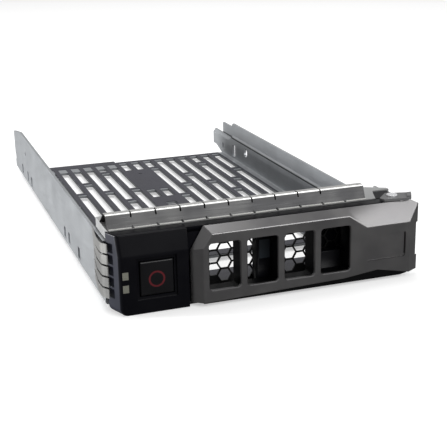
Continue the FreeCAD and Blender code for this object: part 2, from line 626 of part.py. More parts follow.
# ---------------------------------------------------------------------- bezel
def build_bezel():
    body = new_body("Bezel")
    left = "bezel_left"
    front_left = "(bezel_left + side_bevel)"
    block = [
        (front_left, "0"), ("block_right", "0"), ("block_right", "block_deep"), (left, "block_deep"),
        (left, "side_bevel_run"),
    ]
    pad(body, "ControlBlock", "XY_Plane", [block], "0", "bezel_top")
    inset = "(block_right - joint_lap)"
    span = f"{PIVOT_X} - {inset}"
    ear = (PIVOT_X, "pivot_y", "barrel_radius")
    bar = box_loop(inset, "rail_front_face", span, "bar_back - rail_front_face")
    pad(body, "TopBar", "XY_Plane", [bar], "bar_low", "bezel_top - bar_low")
    pad(body, "TopEar", "XY_Plane", [ear], "bar_low", "bezel_top - bar_low")
    sill = box_loop(inset, "rail_front_face", span, "sill_back - rail_front_face")
    pad(body, "Sill", "XY_Plane", [sill], "sill_low", "sill_top - sill_low")
    pad(body, "LowEar", "XY_Plane", [ear], "sill_low", "sill_top - sill_low")
    lip = box_loop("sill_lip_left", "sill_back - joint_lap", f"{SILL_LIP_RIGHT} - sill_lip_left",
                   "sill_lip_back - sill_back + joint_lap")
    pad(body, "SillLip", "XY_Plane", [lip], "sill_low", "tray_lift - sill_low")
    rib = box_loop("rib_left", "rib_front", "rib_wide", "sill_back - rib_front")
    pad(body, "Rib", "XY_Plane", [rib], "sill_top - joint_lap", "bar_low - sill_top + 2 * joint_lap")
    wall = box_loop("end_wall_left", "rib_front", f"{END_WALL_RIGHT} - end_wall_left", "sill_back - rib_front")
    pad(body, "EndWall", "XY_Plane", [wall], "sill_top - joint_lap", "end_wall_top - sill_top + joint_lap")
    brow = [("-1", "brow_low"), ("0", "brow_low"), ("brow_back", "bezel_top"), ("brow_back", "bezel_top + 1"),
            ("-1", "bezel_top + 1")]
    pocket(body, "Brow", "YZ_Plane", [brow], "-1", "block_right + 2")
    recess = box_loop("recess_left", "recess_low", "recess_wide", "recess_tall")
    pocket(body, "ButtonRecess", "XZ_Plane", [recess], "-1", "recess_deep + 1")
    dent = box_loop("rib_left + rib_dent_side", "rib_dent_low", "rib_wide - rib_dent_side", "rib_dent_tall")
    pocket(body, "RibDent", "XZ_Plane", [dent], "rib_front - 1", "1 + rib_dent_deep")
    shaft = box_loop("button_left - button_gap", "button_low - button_gap",
                     "button_wide + 2 * button_gap", "button_tall + 2 * button_gap")
    pocket(body, "ButtonShaft", "XZ_Plane", [shaft], "-1", "block_deep + 2")
    rebate = box_loop("-1", "plate_front - plate_clear", "block_right + 2", "block_deep - plate_front + 1")
    pocket(body, "PlateRebate", "XY_Plane", [rebate], f"{GRILLE_TOP} - plate_clear", "plate_thick + 1")
    lights = []
    for step in ("0", "light_pitch"):
        lights.append(box_loop("light_left - light_gap", f"light_low + {step} - light_gap",
                               "light_wide + 2 * light_gap", "light_tall + 2 * light_gap"))
    pocket(body, "LightHoles", "XZ_Plane", lights, "-1", "block_deep + 2")
    pins = [(PIVOT_X, "pivot_y", "pin_radius")]
    pocket(body, "PinHoles", "XY_Plane", pins, "-1", "bezel_top + 2")
    pocket(body, "ScrewHoles", "XY_Plane", BEZEL_SCREWS, "sill_low - 1", "tray_lift + 1")
    return body


def build_rib_pad():
    """Pad that lies in the dent of the bezel's rib."""
    body = new_body("RibPad")
    face = box_loop("rib_left + rib_dent_side", "rib_dent_low", "rib_wide - rib_dent_side", "rib_dent_tall")
    pad(body, "PadSheet", "XZ_Plane", [face], "rib_front + rib_dent_deep - rib_pad_thick", "rib_pad_thick")
    return body


def build_button():
    body = new_body("Button")
    face = box_loop("button_left", "button_low", "button_wide", "button_tall")
    pad(body, "ButtonBlock", "XZ_Plane", [face], "button_proud", "button_deep")
    front = value("button_proud")
    round_edges(body, "ButtonEdges", "button_round", lambda a, b: close(a.y, front) and close(b.y, front))
    ring = [("ring_x", "ring_z", "ring_outer"), ("ring_x", "ring_z", "ring_inner")]
    pocket(body, "RingGroove", "XZ_Plane", ring, "button_proud - 1", "ring_sunk + 1")
    well = [("ring_x", "ring_z", "spring_well")]
    pocket(body, "SpringWell", "XZ_Plane", well, "button_proud + button_deep - well_deep", "well_deep + 1")
    return body


def build_ring():
    body = new_body("ButtonRing")
    ring = [("ring_x", "ring_z", "ring_outer"), ("ring_x", "ring_z", "ring_inner")]
    pad(body, "RingPad", "XZ_Plane", ring, "button_proud", "ring_sunk")
    return body


def build_light(step):
    body = new_body("Light")
    face = box_loop("light_left", f"light_low + {step}", "light_wide", "light_tall")
    pad(body, "LightBar", "XZ_Plane", [face], "0", "block_deep + 1")
    return body


# --------------------------------------------------------------------- handle
def handle_outlines():
    """Matching corner lists of the handle's front face and of its back."""
    front_left = "(handle_left + bevel_side)"
    front_top = "(handle_top - bevel_top)"
    front_right = f"({HANDLE_RIGHT} - bevel_right)"
    rise_end = "(under_rise_at + under_rise_run)"
    front = [
        (front_left, "handle_low"), ("under_rise_at", "handle_low"),
        (rise_end, "handle_low + under_rise"), (front_right, "handle_low + under_rise"),
        (front_right, "facet_low"), ("facet_left", "facet_low"),
        ("facet_left - facet_run", front_top), (f"{front_left} + corner_cut", front_top),
        (front_left, f"{front_top} - corner_cut * corner_slope"),
    ]
    back = [
        ("handle_left", "handle_low"), ("under_rise_at", "handle_low"),
        (rise_end, "handle_low + under_rise / 2"), (HANDLE_RIGHT, "handle_low + under_rise / 2"),
        (HANDLE_RIGHT, "handle_top - corner_cut / 2"), (f"{HANDLE_RIGHT} - corner_cut", "handle_top"),
        ("facet_left - facet_run", "handle_top"), ("handle_left + corner_back", "handle_top"),
        ("handle_left", "handle_top - corner_back * corner_back_slope"),
    ]
    return front, back


def window_loops():
    loops = []
    for number in range(4):
        left = f"window_left + {number} * window_pitch"
        loops.append(box_loop(left, "window_low", "window_wide", "window_tall"))
    return loops


def build_handle():
    body = new_body("Handle")
    front, back = handle_outlines()
    loft(body, "Shell", "XZ_Plane", front, "handle_front", back, "handle_back")
    duct_left = "window_left - duct_wall"
    duct_wide = "3 * window_pitch + window_wide + 2 * duct_wall"
    duct = box_loop(duct_left, "window_low - duct_wall", duct_wide, "window_tall + 2 * duct_wall")
    pad(body, "Duct", "XZ_Plane", [duct], "handle_back - joint_lap", "duct_back - handle_back + joint_lap")
    low = "(sill_top + hinge_gap)"
    tall = f"barrel_top - {low}"
    web = box_loop(f"{PIVOT_X} - barrel_radius", "handle_back - joint_lap", "2 * barrel_radius",
                   "pivot_y - handle_back + joint_lap")
    pad(body, "HingeWeb", "XY_Plane", [web], low, tall)
    lug = box_loop(f"{duct_left} - lug_wide", "lug_low", "lug_wide + joint_lap", "lug_tall")
    pad(body, "Lug", "XZ_Plane", [lug], "duct_back - lug_deep", "lug_deep")
    pad(body, "Barrel", "XY_Plane", [(PIVOT_X, "pivot_y", "barrel_radius")], low, tall)
    pocket(body, "Windows", "XZ_Plane", window_loops(), "handle_front - 1", "duct_back - handle_front + 2")
    lefts = [value(f"window_left + {number} * window_pitch") for number in range(4)]
    sides = lefts + [left + value("window_wide") for left in lefts]
    rows = (value("window_low"), value("window_low + window_tall"))
    round_edges(body, "WindowCorners", "window_round", lambda a, b: close(a.x, b.x) and close(a.z, b.z)
                and any(close(a.x, side) for side in sides) and any(close(a.z, row) for row in rows))
    label = box_loop("label_left", "label_low", "label_wide", "label_tall")
    pocket(body, "LabelField", "XZ_Plane", [label], "handle_front - 1", "1 + label_deep")
    waist = box_loop(f"{HANDLE_RIGHT} - waist_deep", "waist_low", "waist_deep + 1", "waist_tall")
    pocket(body, "Waist", "XZ_Plane", [waist], "handle_front - 1", "handle_back - handle_front + 2")
    bore = [(PIVOT_X, "pivot_y", "pin_radius + pin_clear")]
    pocket(body, "PinBore", "XY_Plane", bore, "0", "bezel_top")
    return body


def build_lever():
    """Plate on top of the handle, whose tip pushes against the chassis."""
    body = new_body("Lever")
    left = f"{PIVOT_X} - lever_left"
    front = "pivot_y - lever_front"
    back = "pivot_y + barrel_radius"
    outline = [
        (left, "pivot_y"), (f"{left} + lever_bevel", f"{front} + lever_bevel / 2"),
        (f"{PIVOT_X} + lever_neck", front), (LEVER_TIP, front), (LEVER_TIP, "pivot_y - lever_bevel / 2"),
        (f"{PIVOT_X} + lever_neck", "pivot_y"), (f"{PIVOT_X} + lever_bevel", back), (f"{PIVOT_X} - lever_bevel", back),
    ]
    pad(body, "LeverPlate", "XY_Plane", [outline], "bezel_top + lever_gap", "lever_thick")
    tip = box_loop(f"{LEVER_TIP} - tip_wide", front, "tip_wide", "lever_front - lever_bevel / 2")
    pad(body, "LeverTip", "XY_Plane", [tip], "bezel_top + lever_gap", "lever_thick + tip_tall")
    bore = [(PIVOT_X, "pivot_y", "pin_radius + pin_clear")]
    pocket(body, "LeverBore", "XY_Plane", bore, "bezel_top", "2 * lever_thick + 2")
    return body


def build_pin():
    body = new_body("PivotPin")
    top = "(bezel_top + lever_gap + lever_thick + pin_clear)"
    pad(body, "PinShaft", "XY_Plane", [(PIVOT_X, "pivot_y", "pin_radius")], "sill_low", f"{top} - sill_low")
    pad(body, "PinHead", "XY_Plane", [(PIVOT_X, "pivot_y", "pin_head")], top, "pin_head_tall")
    edge = value(f"{top} + pin_head_tall")
    round_edges(body, "PinDome", "pin_head_tall / 2", lambda a, b: close(a.z, edge) and close(b.z, edge),
                "Chamfer", "Size")
    return body


# ------------------------------------------------- front plate, grille, strips

def build_front_plate():
    body = new_body("FrontPlate")
    right = TRAY_WIDE
    slant = f"{CAVITY_LEFT} + cavity_slant"
    outline = [
        ("sheet_thick", "plate_front"), (CAVITY_LEFT, "plate_front"),
        (f"{CAVITY_LEFT} + cavity_slant / 2", "cavity_rear - cavity_corner"),
        (slant, "cavity_rear"), (right, "cavity_rear"), (right, "cavity_rear + plate_edge"),
        (f"{right} - plate_short", "plate_rear"), ("sheet_thick", "plate_rear"),
    ]
    pad(body, "PlateTop", "XY_Plane", [outline], f"{PLATE_TOP} - plate_thick", "plate_thick")
    lip = box_loop("sheet_thick", "plate_rear - plate_thick", f"{right} - sheet_thick - plate_short", "plate_thick")
    pad(body, "PlateLip", "XY_Plane", [lip], f"{PLATE_TOP} - plate_lip", "plate_lip")
    wall_left = "(sheet_thick + bend_round)"
    wall = box_loop(wall_left, "spring_wall", f"block_right - wall_short - {wall_left}", "plate_thick")
    pad(body, "SpringWall", "XY_Plane", [wall], FLOOR_TOP, f"{PLATE_TOP} - {FLOOR_TOP}")
    left_lip = box_loop("sheet_thick", "rail_front", "plate_thick", "plate_rear - rail_front")
    pad(body, "LeftLip", "XY_Plane", [left_lip], "side_lip_low", f"{PLATE_TOP} - side_lip_low")
    right_lip = box_loop(f"{RIGHT_INNER} - plate_thick", "cavity_rear", "plate_thick", "right_lip_deep")
    pad(body, "RightLip", "XY_Plane", [right_lip], "side_lip_low", f"{PLATE_TOP} - side_lip_low - plate_thick")
    pocket(body, "LeftRivetHoles", "YZ_Plane", LEFT_RIVETS, "0", "3 * sheet_thick")
    pocket(body, "RightRivetHole", "YZ_Plane", [RIGHT_RIVET], f"{RIGHT_INNER} - 2 * sheet_thick", "3 * sheet_thick")
    return body


def grille_cutter():
    """Hex holes in staggered columns, clear of the grille's plain rim."""
    pitch = value("hex_pitch")
    across = pitch - value("hex_web")
    corner = across / math.sqrt(3)
    step = pitch * math.sqrt(3) / 2
    rim = value("grille_rim")
    left, right = value("grille_left") + rim + corner, value(GRILLE_RIGHT) - rim - corner
    low, high = value(FLOOR_TOP) + rim + across / 2, value(GRILLE_TOP) - rim - across / 2
    front = value("grille_front") - 1
    depth = value("grille_thick") + 2
    holes = []
    for column in range(1 + int((right - left) // step)):
        x = left + column * step
        z = low + (pitch / 2 if column % 2 else 0)
        while z <= high:
            corners = [Vector(x + corner * math.cos(math.radians(60 * k)), front,
                              z + corner * math.sin(math.radians(60 * k))) for k in range(7)]
            holes.append(Part.Face(Part.makePolygon(corners)).extrude(Vector(0, depth, 0)))
            z += pitch
    return Part.makeCompound(holes)


def build_grille():
    body = new_body("GrilleBlank")
    face = box_loop("grille_left", FLOOR_TOP, f"{GRILLE_RIGHT} - grille_left", f"{GRILLE_TOP} - {FLOOR_TOP}")
    pad(body, "GrilleSheet", "XZ_Plane", [face], "grille_front", "grille_thick")
    return cut("Grille", body, shaped("GrillePiercing", grille_cutter()))


def hat_loop(front, ridge_front, ridge_rear, rear, base, top, thick):
    """Section of a spring-finger strip: a folded hat with open feet."""
    return [
        (front, base), (ridge_front, top), (ridge_rear, top), (rear, base),
        (f"{rear} - 1.6 * {thick}", base), (f"{ridge_rear} - 0.5 * {thick}", f"{top} - {thick}"),
        (f"{ridge_front} + 0.5 * {thick}", f"{top} - {thick}"), (f"{front} + 1.6 * {thick}", base),
    ]


def build_top_strip():
    body = new_body("TopStripBlank")
    hat = hat_loop("strip_front", "strip_ridge_front", "strip_ridge_rear", "strip_rear",
                   PLATE_TOP, "strip_top", "strip_thick")
    pad(body, "TopHat", "YZ_Plane", [hat], "strip_left", f"{STRIP_RIGHT} - strip_left")
    slits = []
    count = int(value(f"({STRIP_RIGHT} - strip_left) / finger_pitch"))
    for number in range(1, count):
        left = f"strip_left + {number} * finger_pitch - finger_slit / 2"
        slits.append(box_loop(left, "strip_front - 1", "finger_slit", "strip_rear - strip_front + 2"))
    pocket(body, "RidgeSlits", "XY_Plane", slits, "strip_top - ridge_slit", "ridge_slit + 1")
    pocket(body, "FootSlits", "XY_Plane", slits, f"{PLATE_TOP} - 1", "foot_slit + 1")
    return body


def build_side_strip():
    body = new_body("SideStripBlank")
    out = "(-side_strip_out)"
    foot = "(-side_foot_gap)"
    near = "(side_front + side_ridge_from)"
    far = "(side_front + side_ridge_to)"
    inner = f"{out} + strip_thick"
    hat = [
        (foot, "side_front"), (out, near), (out, far), (foot, "side_rear"),
        (foot, "side_rear - 2 * strip_thick"), (inner, f"{far} - strip_thick / 2"),
        (inner, f"{near} + strip_thick / 2"), (foot, "side_front + 2 * strip_thick"),
    ]
    pad(body, "SideHat", "XY_Plane", [hat], "side_strip_low", "side_strip_high - side_strip_low")
    slits = []
    for number in range(1, 5):
        low = f"side_strip_low + {number} * side_finger_pitch"
        slits.append(box_loop("side_front - 1", low, "side_ridge_to + 1", "finger_slit"))
    pocket(body, "SideSlits", "YZ_Plane", slits, f"{out} - 1", "side_strip_out + 2")
    return body


def coil(radius, wire, rise, turns, centre, direction):
    """A coil spring of drawn wire, along the given direction.  Its section has six flats."""
    helix = Part.makeHelix(rise / turns, rise, radius)
    angles = [math.radians(60 * k) for k in range(7)]
    section = Part.makePolygon([Vector(radius + wire * math.cos(a), 0, wire * math.sin(a)) for a in angles])
    spring = Part.Wire(helix).makePipeShell([section], True, True)
    spring.Placement = Placement(centre, Rotation(Vector(0, 0, 1), direction))
    return spring


# ------------------------------------------------------ catch, springs, fasteners
def build_catch():
    """Arm on the button that stands behind the handle's lug."""
    body = new_body("Catch")
    left = "(button_left + button_wide)"
    lug_left = "(window_left - duct_wall - lug_wide)"
    right = f"({lug_left} + catch_hold)"
    back = "(block_deep + catch_gap)"
    low = "(lug_low + (lug_tall - catch_tall) / 2)"
    arm = [
        (left, back), (lug_left, back), (lug_left, "duct_back + catch_gap"), (right, "duct_back + catch_gap"),
        (right, f"{back} + catch_thick"), (left, f"{back} + catch_thick"),
    ]
    pad(body, "CatchArm", "XY_Plane", [arm], low, "catch_tall")
    return body


def build_button_spring():
    front = value("button_proud + button_deep - well_deep + spring_wire + spring_seat")
    rear = value("spring_wall - spring_wire - spring_seat")
    centre = Vector(value("ring_x"), front, value("ring_z"))
    spring = coil(value("spring_coil"), value("spring_wire"), rear - front, value("spring_turns"),
                  centre, Vector(0, 1, 0))
    return shaped("ButtonSpring", spring)


def build_handle_spring():
    low = value("barrel_top + hinge_gap + spring_wire")
    high = value("bar_low - hinge_gap - spring_wire")
    centre = Vector(value(PIVOT_X), value("pivot_y"), low)
    radius = value("pin_radius + spring_wire + pin_spring_gap")
    return shaped("HandleSpring", coil(radius, value("spring_wire"), high - low, value("spring_turns"),
                                       centre, Vector(0, 0, 1)))


def build_rivets():
    """Rivets that join the front plate's side lips to the rails."""
    radius = value("rivet_radius")
    head = value("rivet_head")
    tall = value("rivet_head_tall")
    low = value("rivet_low")
    length = value("sheet_thick + plate_thick")
    rivets = []
    left = value("left_rivet_y")
    places = [(0, left, low), (0, left, low + value("rivet_rise"))]
    places.append((value(f"{RIGHT_INNER} - plate_thick"), value("right_rivet_y"), low))
    for x, y, z in places:
        across = Vector(1, 0, 0)
        shank = Part.makeCylinder(radius, length, Vector(x, y, z), across)
        outer = Part.makeCylinder(head, tall, Vector(x - tall, y, z), across)
        inner = Part.makeCylinder(head, tall, Vector(x + length, y, z), across)
        rivets.append(shank.fuse(outer).fuse(inner).removeSplitter())
    return shaped("Rivets", Part.makeCompound(rivets))


def build_screws():
    """Screws that hold the tray's floor down on the bezel's lip."""
    screws = []
    for step in (0, 1):
        x = value(f"screw_left + {step} * bezel_screw_pitch")
        y = value("bezel_screw_y")
        low = value("sill_low")
        top = value(FLOOR_TOP)
        shank = Part.makeCylinder(value("bezel_screw"), top - low, Vector(x, y, low))
        head = Part.makeCylinder(value("bezel_screw_head"), value("bezel_screw_head_tall"), Vector(x, y, top))
        screws.append(shank.fuse(head).removeSplitter())
    return shaped("BezelScrews", Part.makeCompound(screws))


# ------------------------------------------------------------ build and export
PARTS = {
    "tray": build_tray(),
    "insulating_film": build_film(),
    "bezel": build_bezel(),
    "rib_pad": build_rib_pad(),
    "release_button": build_button(),
    "button_ring": build_ring(),
    "light_pipe_lower": build_light("0"),
    "light_pipe_upper": build_light("light_pitch"),
    "latch_catch": build_catch(),
    "button_spring": build_button_spring(),
    "handle": build_handle(),
    "lever_plate": build_lever(),
    "pivot_pin": build_pin(),
    "handle_spring": build_handle_spring(),
    "front_plate": build_front_plate(),
    "grille": build_grille(),
    "top_finger_strip": build_top_strip(),
    "side_finger_strip": build_side_strip(),
    "lip_rivets": build_rivets(),
    "bezel_screws": build_screws(),
}

ORIGIN_X = f"(({HANDLE_RIGHT} - side_strip_out) / 2)"
ORIGIN_Y = "((left_rear + handle_front) / 2)"
for label, part in PARTS.items():
    part.Label = label
    if part.TypeId == "Part::Feature":
        part.Placement = Placement(Vector(-value(ORIGIN_X), -value(ORIGIN_Y), 0), Rotation()).multiply(part.Placement)
    else:
        part.setExpression("Placement.Base.x", full(f"-{ORIGIN_X}"))
        part.setExpression("Placement.Base.y", full(f"-{ORIGIN_Y}"))
doc.recompute()

for item in doc.Objects:
    if "Invalid" in item.State or "Error" in item.State:
        raise RuntimeError(f"{item.Name} failed: {item.State}")

os.makedirs("parts", exist_ok=True)
for label, part in PARTS.items():
    if part.Shape.isNull() or not part.Shape.isValid():
        raise RuntimeError(f"{label} has no valid shape")
    part.Shape.exportStep(f"parts/{label}.step")
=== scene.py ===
# %% [markdown]
# A drive caddy is a folded steel tray with a moulded front.  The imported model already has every
# solid in its true place, so this lesson starts by loading it and only dresses it: finishes, soft
# edges, small repeated details, then light and camera.

# %% Load the fixed frame
import math
import bmesh
import bpy
from mathutils import Matrix, Vector


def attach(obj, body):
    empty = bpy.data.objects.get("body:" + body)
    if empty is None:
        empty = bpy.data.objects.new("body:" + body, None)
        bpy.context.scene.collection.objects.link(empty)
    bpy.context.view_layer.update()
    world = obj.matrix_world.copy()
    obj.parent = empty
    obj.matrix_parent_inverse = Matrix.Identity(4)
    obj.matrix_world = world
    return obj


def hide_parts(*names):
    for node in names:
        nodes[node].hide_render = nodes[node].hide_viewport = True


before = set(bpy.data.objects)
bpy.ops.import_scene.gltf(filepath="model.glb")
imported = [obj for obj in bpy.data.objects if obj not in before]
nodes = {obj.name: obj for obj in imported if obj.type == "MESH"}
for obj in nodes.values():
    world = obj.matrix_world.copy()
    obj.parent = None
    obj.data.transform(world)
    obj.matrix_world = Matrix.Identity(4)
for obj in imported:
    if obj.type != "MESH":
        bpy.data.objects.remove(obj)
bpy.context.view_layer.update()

MM = 0.001

# %% [markdown]
# Colours are easiest to write as the hex codes of a paint chart, but shaders count in linear light.
# One function turns one into the other.  A second one adds a shader node with its settings and its
# links, so that each finish below reads as a short recipe.

# %% Helpers for node trees
def linear(code):
    """An sRGB hex colour as the linear numbers that a shader uses."""
    parts = [int(code[i:i + 2], 16) / 255 for i in (0, 2, 4)]
    return [p / 12.92 if p <= 0.04045 else ((p + 0.055) / 1.055) ** 2.4 for p in parts] + [1.0]


def add(tree, kind, links=None, **settings):
    """Add one node.  Each link is a value for an input, or the socket that feeds it."""
    made = tree.nodes.new(kind)
    for name, setting in settings.items():
        setattr(made, name, setting)
    for name, source in (links or {}).items():
        if isinstance(source, bpy.types.NodeSocket):
            tree.links.new(source, made.inputs[name])
        else:
            made.inputs[name].default_value = source
    return made


def new_finish(name):
    """An empty material, its tree and its Object coordinates in metres."""
    finish = bpy.data.materials.new(name)
    finish.use_nodes = True
    tree = finish.node_tree
    tree.nodes.clear()
    return finish, tree, add(tree, "ShaderNodeTexCoord").outputs["Object"]


def close_finish(tree, links):
    """Put a Principled shader with these inputs on the material's output."""
    shader = add(tree, "ShaderNodeBsdfPrincipled", links)
    add(tree, "ShaderNodeOutputMaterial", {"Surface": shader.outputs["BSDF"]})


print("a mid grey is", round(linear("808080")[0], 3), "in linear light")

# %% [markdown]
# Every surface has some unevenness whose size is known in millimetres.  Noise gives it, and the
# same noise then drives colour, roughness or relief.  Its values seldom leave the middle of the
# range from 0 to 1, so each use stretches that middle part.

# %% Grain, tones and relief
EVEN = (1, 1, 1)
ALONG_X, ALONG_Y, ALONG_Z = (40, 1, 1), (1, 40, 1), (1, 1, 40)
NUMBER_SPAN = (0.3, 0.7)
COLOUR_SPAN = (0.35, 0.65)


def grain(tree, place, size_mm, stretch=EVEN, detail=2.0):
    """Noise whose grains are size_mm wide, drawn out by the stretch along X, Y and Z."""
    shrink = [1 / s for s in stretch]
    moved = add(tree, "ShaderNodeMapping", {"Vector": place, "Scale": shrink})
    return add(tree, "ShaderNodeTexNoise", {
        "Vector": moved.outputs["Vector"],
        "Scale": 1 / (size_mm * MM),
        "Detail": detail,
    }).outputs["Fac"]


def between(tree, amount, low, high):
    """Turn a noise value into a number between low and high."""
    return add(tree, "ShaderNodeMapRange", {
        "Value": amount, "From Min": NUMBER_SPAN[0], "From Max": NUMBER_SPAN[1],
        "To Min": low, "To Max": high,
    }).outputs["Result"]


def two_tone(tree, amount, first, second):
    """Blend two hex colours by a noise value."""
    ramp = add(tree, "ShaderNodeValToRGB", {"Fac": amount})
    for element, position, code in zip(ramp.color_ramp.elements, COLOUR_SPAN, (first, second)):
        element.position = position
        element.color = linear(code)
    return ramp.outputs["Color"]


def tinted(tree, amount, plain, code):
    """Turn from a colour to the hex colour where the amount is 1."""
    links = {"Factor": amount, "A": plain, "B": linear(code)}
    return add(tree, "ShaderNodeMix", links, data_type="RGBA").outputs["Result"]


def relief(tree, height, depth_mm, strength):
    """Bump of a given depth."""
    links = {"Height": height, "Distance": depth_mm * MM, "Strength": strength}
    return add(tree, "ShaderNodeBump", links).outputs["Normal"]


print("long grains are", max(ALONG_X), "times as long as wide")

# %% [markdown]
# Steel sheet shows how it was made.  The mill leaves faint lines along it, 0.3 mm wide here and
# drawn out forty times, and the zinc bath leaves a bluish, slightly cloudy grey with clouds of
# 14 mm.  Two pieces have something of their own.  The tray has a line of painted shade where its
# right rail is joggled outward.  The top strip is dull on its slopes and has a painted highlight
# along its ridge.

# %% Sheet metals
LINE_MM, LINE_DEEP, CLOUD_MM, STRIP_CLOUD_MM = 0.3, 0.004, 14.0, 11.0
# Height and widths of the painted shade line at the joggle, and where the right rail starts.
JOGGLE_HIGH, JOGGLE_CORE, JOGGLE_EDGE, RIGHT_RAIL = 12.2, 0.15, 0.45, 44.0
RIDGE_LOW, RIDGE_HIGH = 30.85, 31.15


def sheet_metal(name, along, cloud_mm, metallic, roughness, colour):
    """Sheet with mill lines; colour(tree, place, clouds) gives its base colour."""
    finish, tree, place = new_finish(name)
    lines = grain(tree, place, LINE_MM, along, 3.0)
    clouds = grain(tree, place, cloud_mm)
    close_finish(tree, {
        "Base Color": colour(tree, place, clouds),
        "Metallic": metallic,
        "Roughness": between(tree, lines, *roughness),
        "Normal": relief(tree, lines, LINE_DEEP, 0.6),
    })
    return finish


def plated_sheet(name, first, second, along, roughness, metallic):
    """Sheet of one cloudy tone."""
    return sheet_metal(name, along, CLOUD_MM, metallic, (roughness - 0.06, roughness + 0.08),
                       lambda tree, place, clouds: two_tone(tree, clouds, first, second))


def joggle_shade_colour(tree, place, clouds):
    """Zinc grey, with a line of painted shade on the right rail at the joggle's height."""
    parts = add(tree, "ShaderNodeSeparateXYZ", {"Vector": place}).outputs

    def sum_of(operation, *values):
        return add(tree, "ShaderNodeMath", dict(enumerate(values)), operation=operation).outputs[0]

    away = sum_of("ABSOLUTE", sum_of("SUBTRACT", parts["Z"], JOGGLE_HIGH * MM))
    line = add(tree, "ShaderNodeMapRange", {
        "Value": away, "From Min": JOGGLE_CORE * MM, "From Max": JOGGLE_EDGE * MM,
        "To Min": 1.0, "To Max": 0.0,
    }).outputs["Result"]
    on_rail = sum_of("GREATER_THAN", parts["X"], RIGHT_RAIL * MM)
    plain = two_tone(tree, clouds, "A6A9AC", "B0B3B6")
    # The dark 2A2C2E line is painted shade in the joggle's crease, on the right rail only.
    return tinted(tree, sum_of("MULTIPLY", line, on_rail), plain, "2A2C2E")


def ridge_highlight_colour(tree, place, clouds):
    """Dull grey, with a highlight painted in by height at the ridge."""
    parts = add(tree, "ShaderNodeSeparateXYZ", {"Vector": place}).outputs
    painted_highlight = add(tree, "ShaderNodeMapRange", {
        "Value": parts["Z"], "From Min": RIDGE_LOW * MM, "From Max": RIDGE_HIGH * MM,
    }).outputs["Result"]
    # Near white C9C9C7 at the ridge's height is a painted highlight.
    return tinted(tree, painted_highlight, two_tone(tree, clouds, "303031", "3F3F3F"), "C9C9C7")


# Tray: bluish grey with soft streaks, and painted shade along the joggle.
zinc_sheet = sheet_metal("zinc_plated_steel_sheet", ALONG_Y, CLOUD_MM, 0.72, (0.30, 0.42),
                         joggle_shade_colour)
# Top strip: dark slopes under a painted highlight on the ridge, which draws the row of fingers.
strip_sheet = sheet_metal("rolled_spring_steel_strip", ALONG_X, STRIP_CLOUD_MM, 0.8, (0.26, 0.40),
                          ridge_highlight_colour)
# Front plate: duller and more neutral than the tray.
plate_sheet = plated_sheet("zinc_plated_front_plate", "A2A3A3", "AEAFAF", ALONG_X, 0.36, 0.5)
# Side fingers: mid grey with upright streaks.
side_sheet = plated_sheet("spring_steel_side_fingers", "7C7C7B", "8B8B89", ALONG_Z, 0.34, 0.55)
# Finger tips: near white, a painted glint along each tip under the top strip.
tip_glint_sheet = plated_sheet("spring_steel_edge_painted_glint", "E2E2DE", "ECECE8", ALONG_X, 0.30, 0.25)
# Lever: flat satin grey beside the bright pin.
lever_sheet = plated_sheet("satin_steel_lever", "6A6A6B", "767677", ALONG_X, 0.40, 0.5)
# Pin, rivets and screws: small bright heads.
turned_steel = plated_sheet("turned_steel", "E2E3E5", "ECEDEE", EVEN, 0.26, 0.45)
# Springs: clean grey wire.
drawn_wire = plated_sheet("drawn_spring_wire", "8A8C90", "9A9CA0", EVEN, 0.34, 1.0)
print("sheet metals:", len(bpy.data.materials))

# %% [markdown]
# The plastic parts are injection-moulded ABS.  Their moulds are spark-eroded, which leaves a fine
# even grain of about 0.25 mm that breaks up reflections.  The paint on the cover halves that grain.
# Unevenness 9 mm wide keeps broad faces from looking flat.

# %% Moulded plastics
MOULD_GRAIN, MOULD_DEEP, BROAD_MM = 0.25, 0.006, 9.0


def moulded_plastic(name, first, second, roughness, shine, grain_mm=MOULD_GRAIN, depth=MOULD_DEEP,
                    metallic=0.0):
    """Plastic of two near tones with the mould's grain."""
    finish, tree, place = new_finish(name)
    fine = grain(tree, place, grain_mm, EVEN, 1.0)
    broad = grain(tree, place, BROAD_MM)
    close_finish(tree, {
        "Base Color": two_tone(tree, broad, first, second),
        "IOR": 1.53,
        "Metallic": metallic,
        "Roughness": between(tree, broad, roughness - 0.04, roughness + 0.04),
        "Specular IOR Level": shine,
        "Normal": relief(tree, fine, depth, 0.5),
    })
    return finish


# Bezel and catch: nearly black, with a trace of blue.
black_abs = moulded_plastic("black_moulded_abs", "05050A", "08080D", 0.40, 0.12)
# The block's left side: the black ABS painted slate as a sheen, so the soft bevel reads beside
# the black face.
sheen_side_abs = moulded_plastic("black_abs_painted_sheen_side", "1E2029", "22242E", 0.40, 0.2)
# Handle cover: metallic paint, whose tone changes from bevel to bevel.
cover_abs = moulded_plastic("metallic_grey_painted_abs", "747374", "7B7A7A", 0.34, 0.5, 0.12,
                            0.003, metallic=0.88)
# Handle frame: flat black, so the windows look deep.
frame_abs = moulded_plastic("black_frame_abs", "050507", "080809", 0.42, 0.12)
# Button: one shade lighter than the bezel round it.
button_abs = moulded_plastic("satin_black_button", "0A0A0C", "0E0E11", 0.32, 0.25)
# Ring: a thin deep red circle.
red_abs = moulded_plastic("red_moulded_ring", "4C0C14", "581018", 0.40, 0.3)
# Pad on the rib: dull blue-grey in the second window.
slate_pad = moulded_plastic("slate_rubber_pad", "1A2026", "21282F", 0.62, 0.3)
# Light windows: unlit and milky.
clear_light = moulded_plastic("frosted_light_pipe", "6B6B62", "78786E", 0.30, 0.5, 0.5, 0.003)
print("with plastics:", len(bpy.data.materials))

# %% [markdown]
# The film on the floor is thin polyester, printed dark slate to insulate the drive's circuit board.
# It is smooth and slightly satin, with faint waves 22 mm wide where it lies on the pierced steel.
# The grille is steel mesh under a black coat with 0.3 mm specks, so it stays dark in every light.

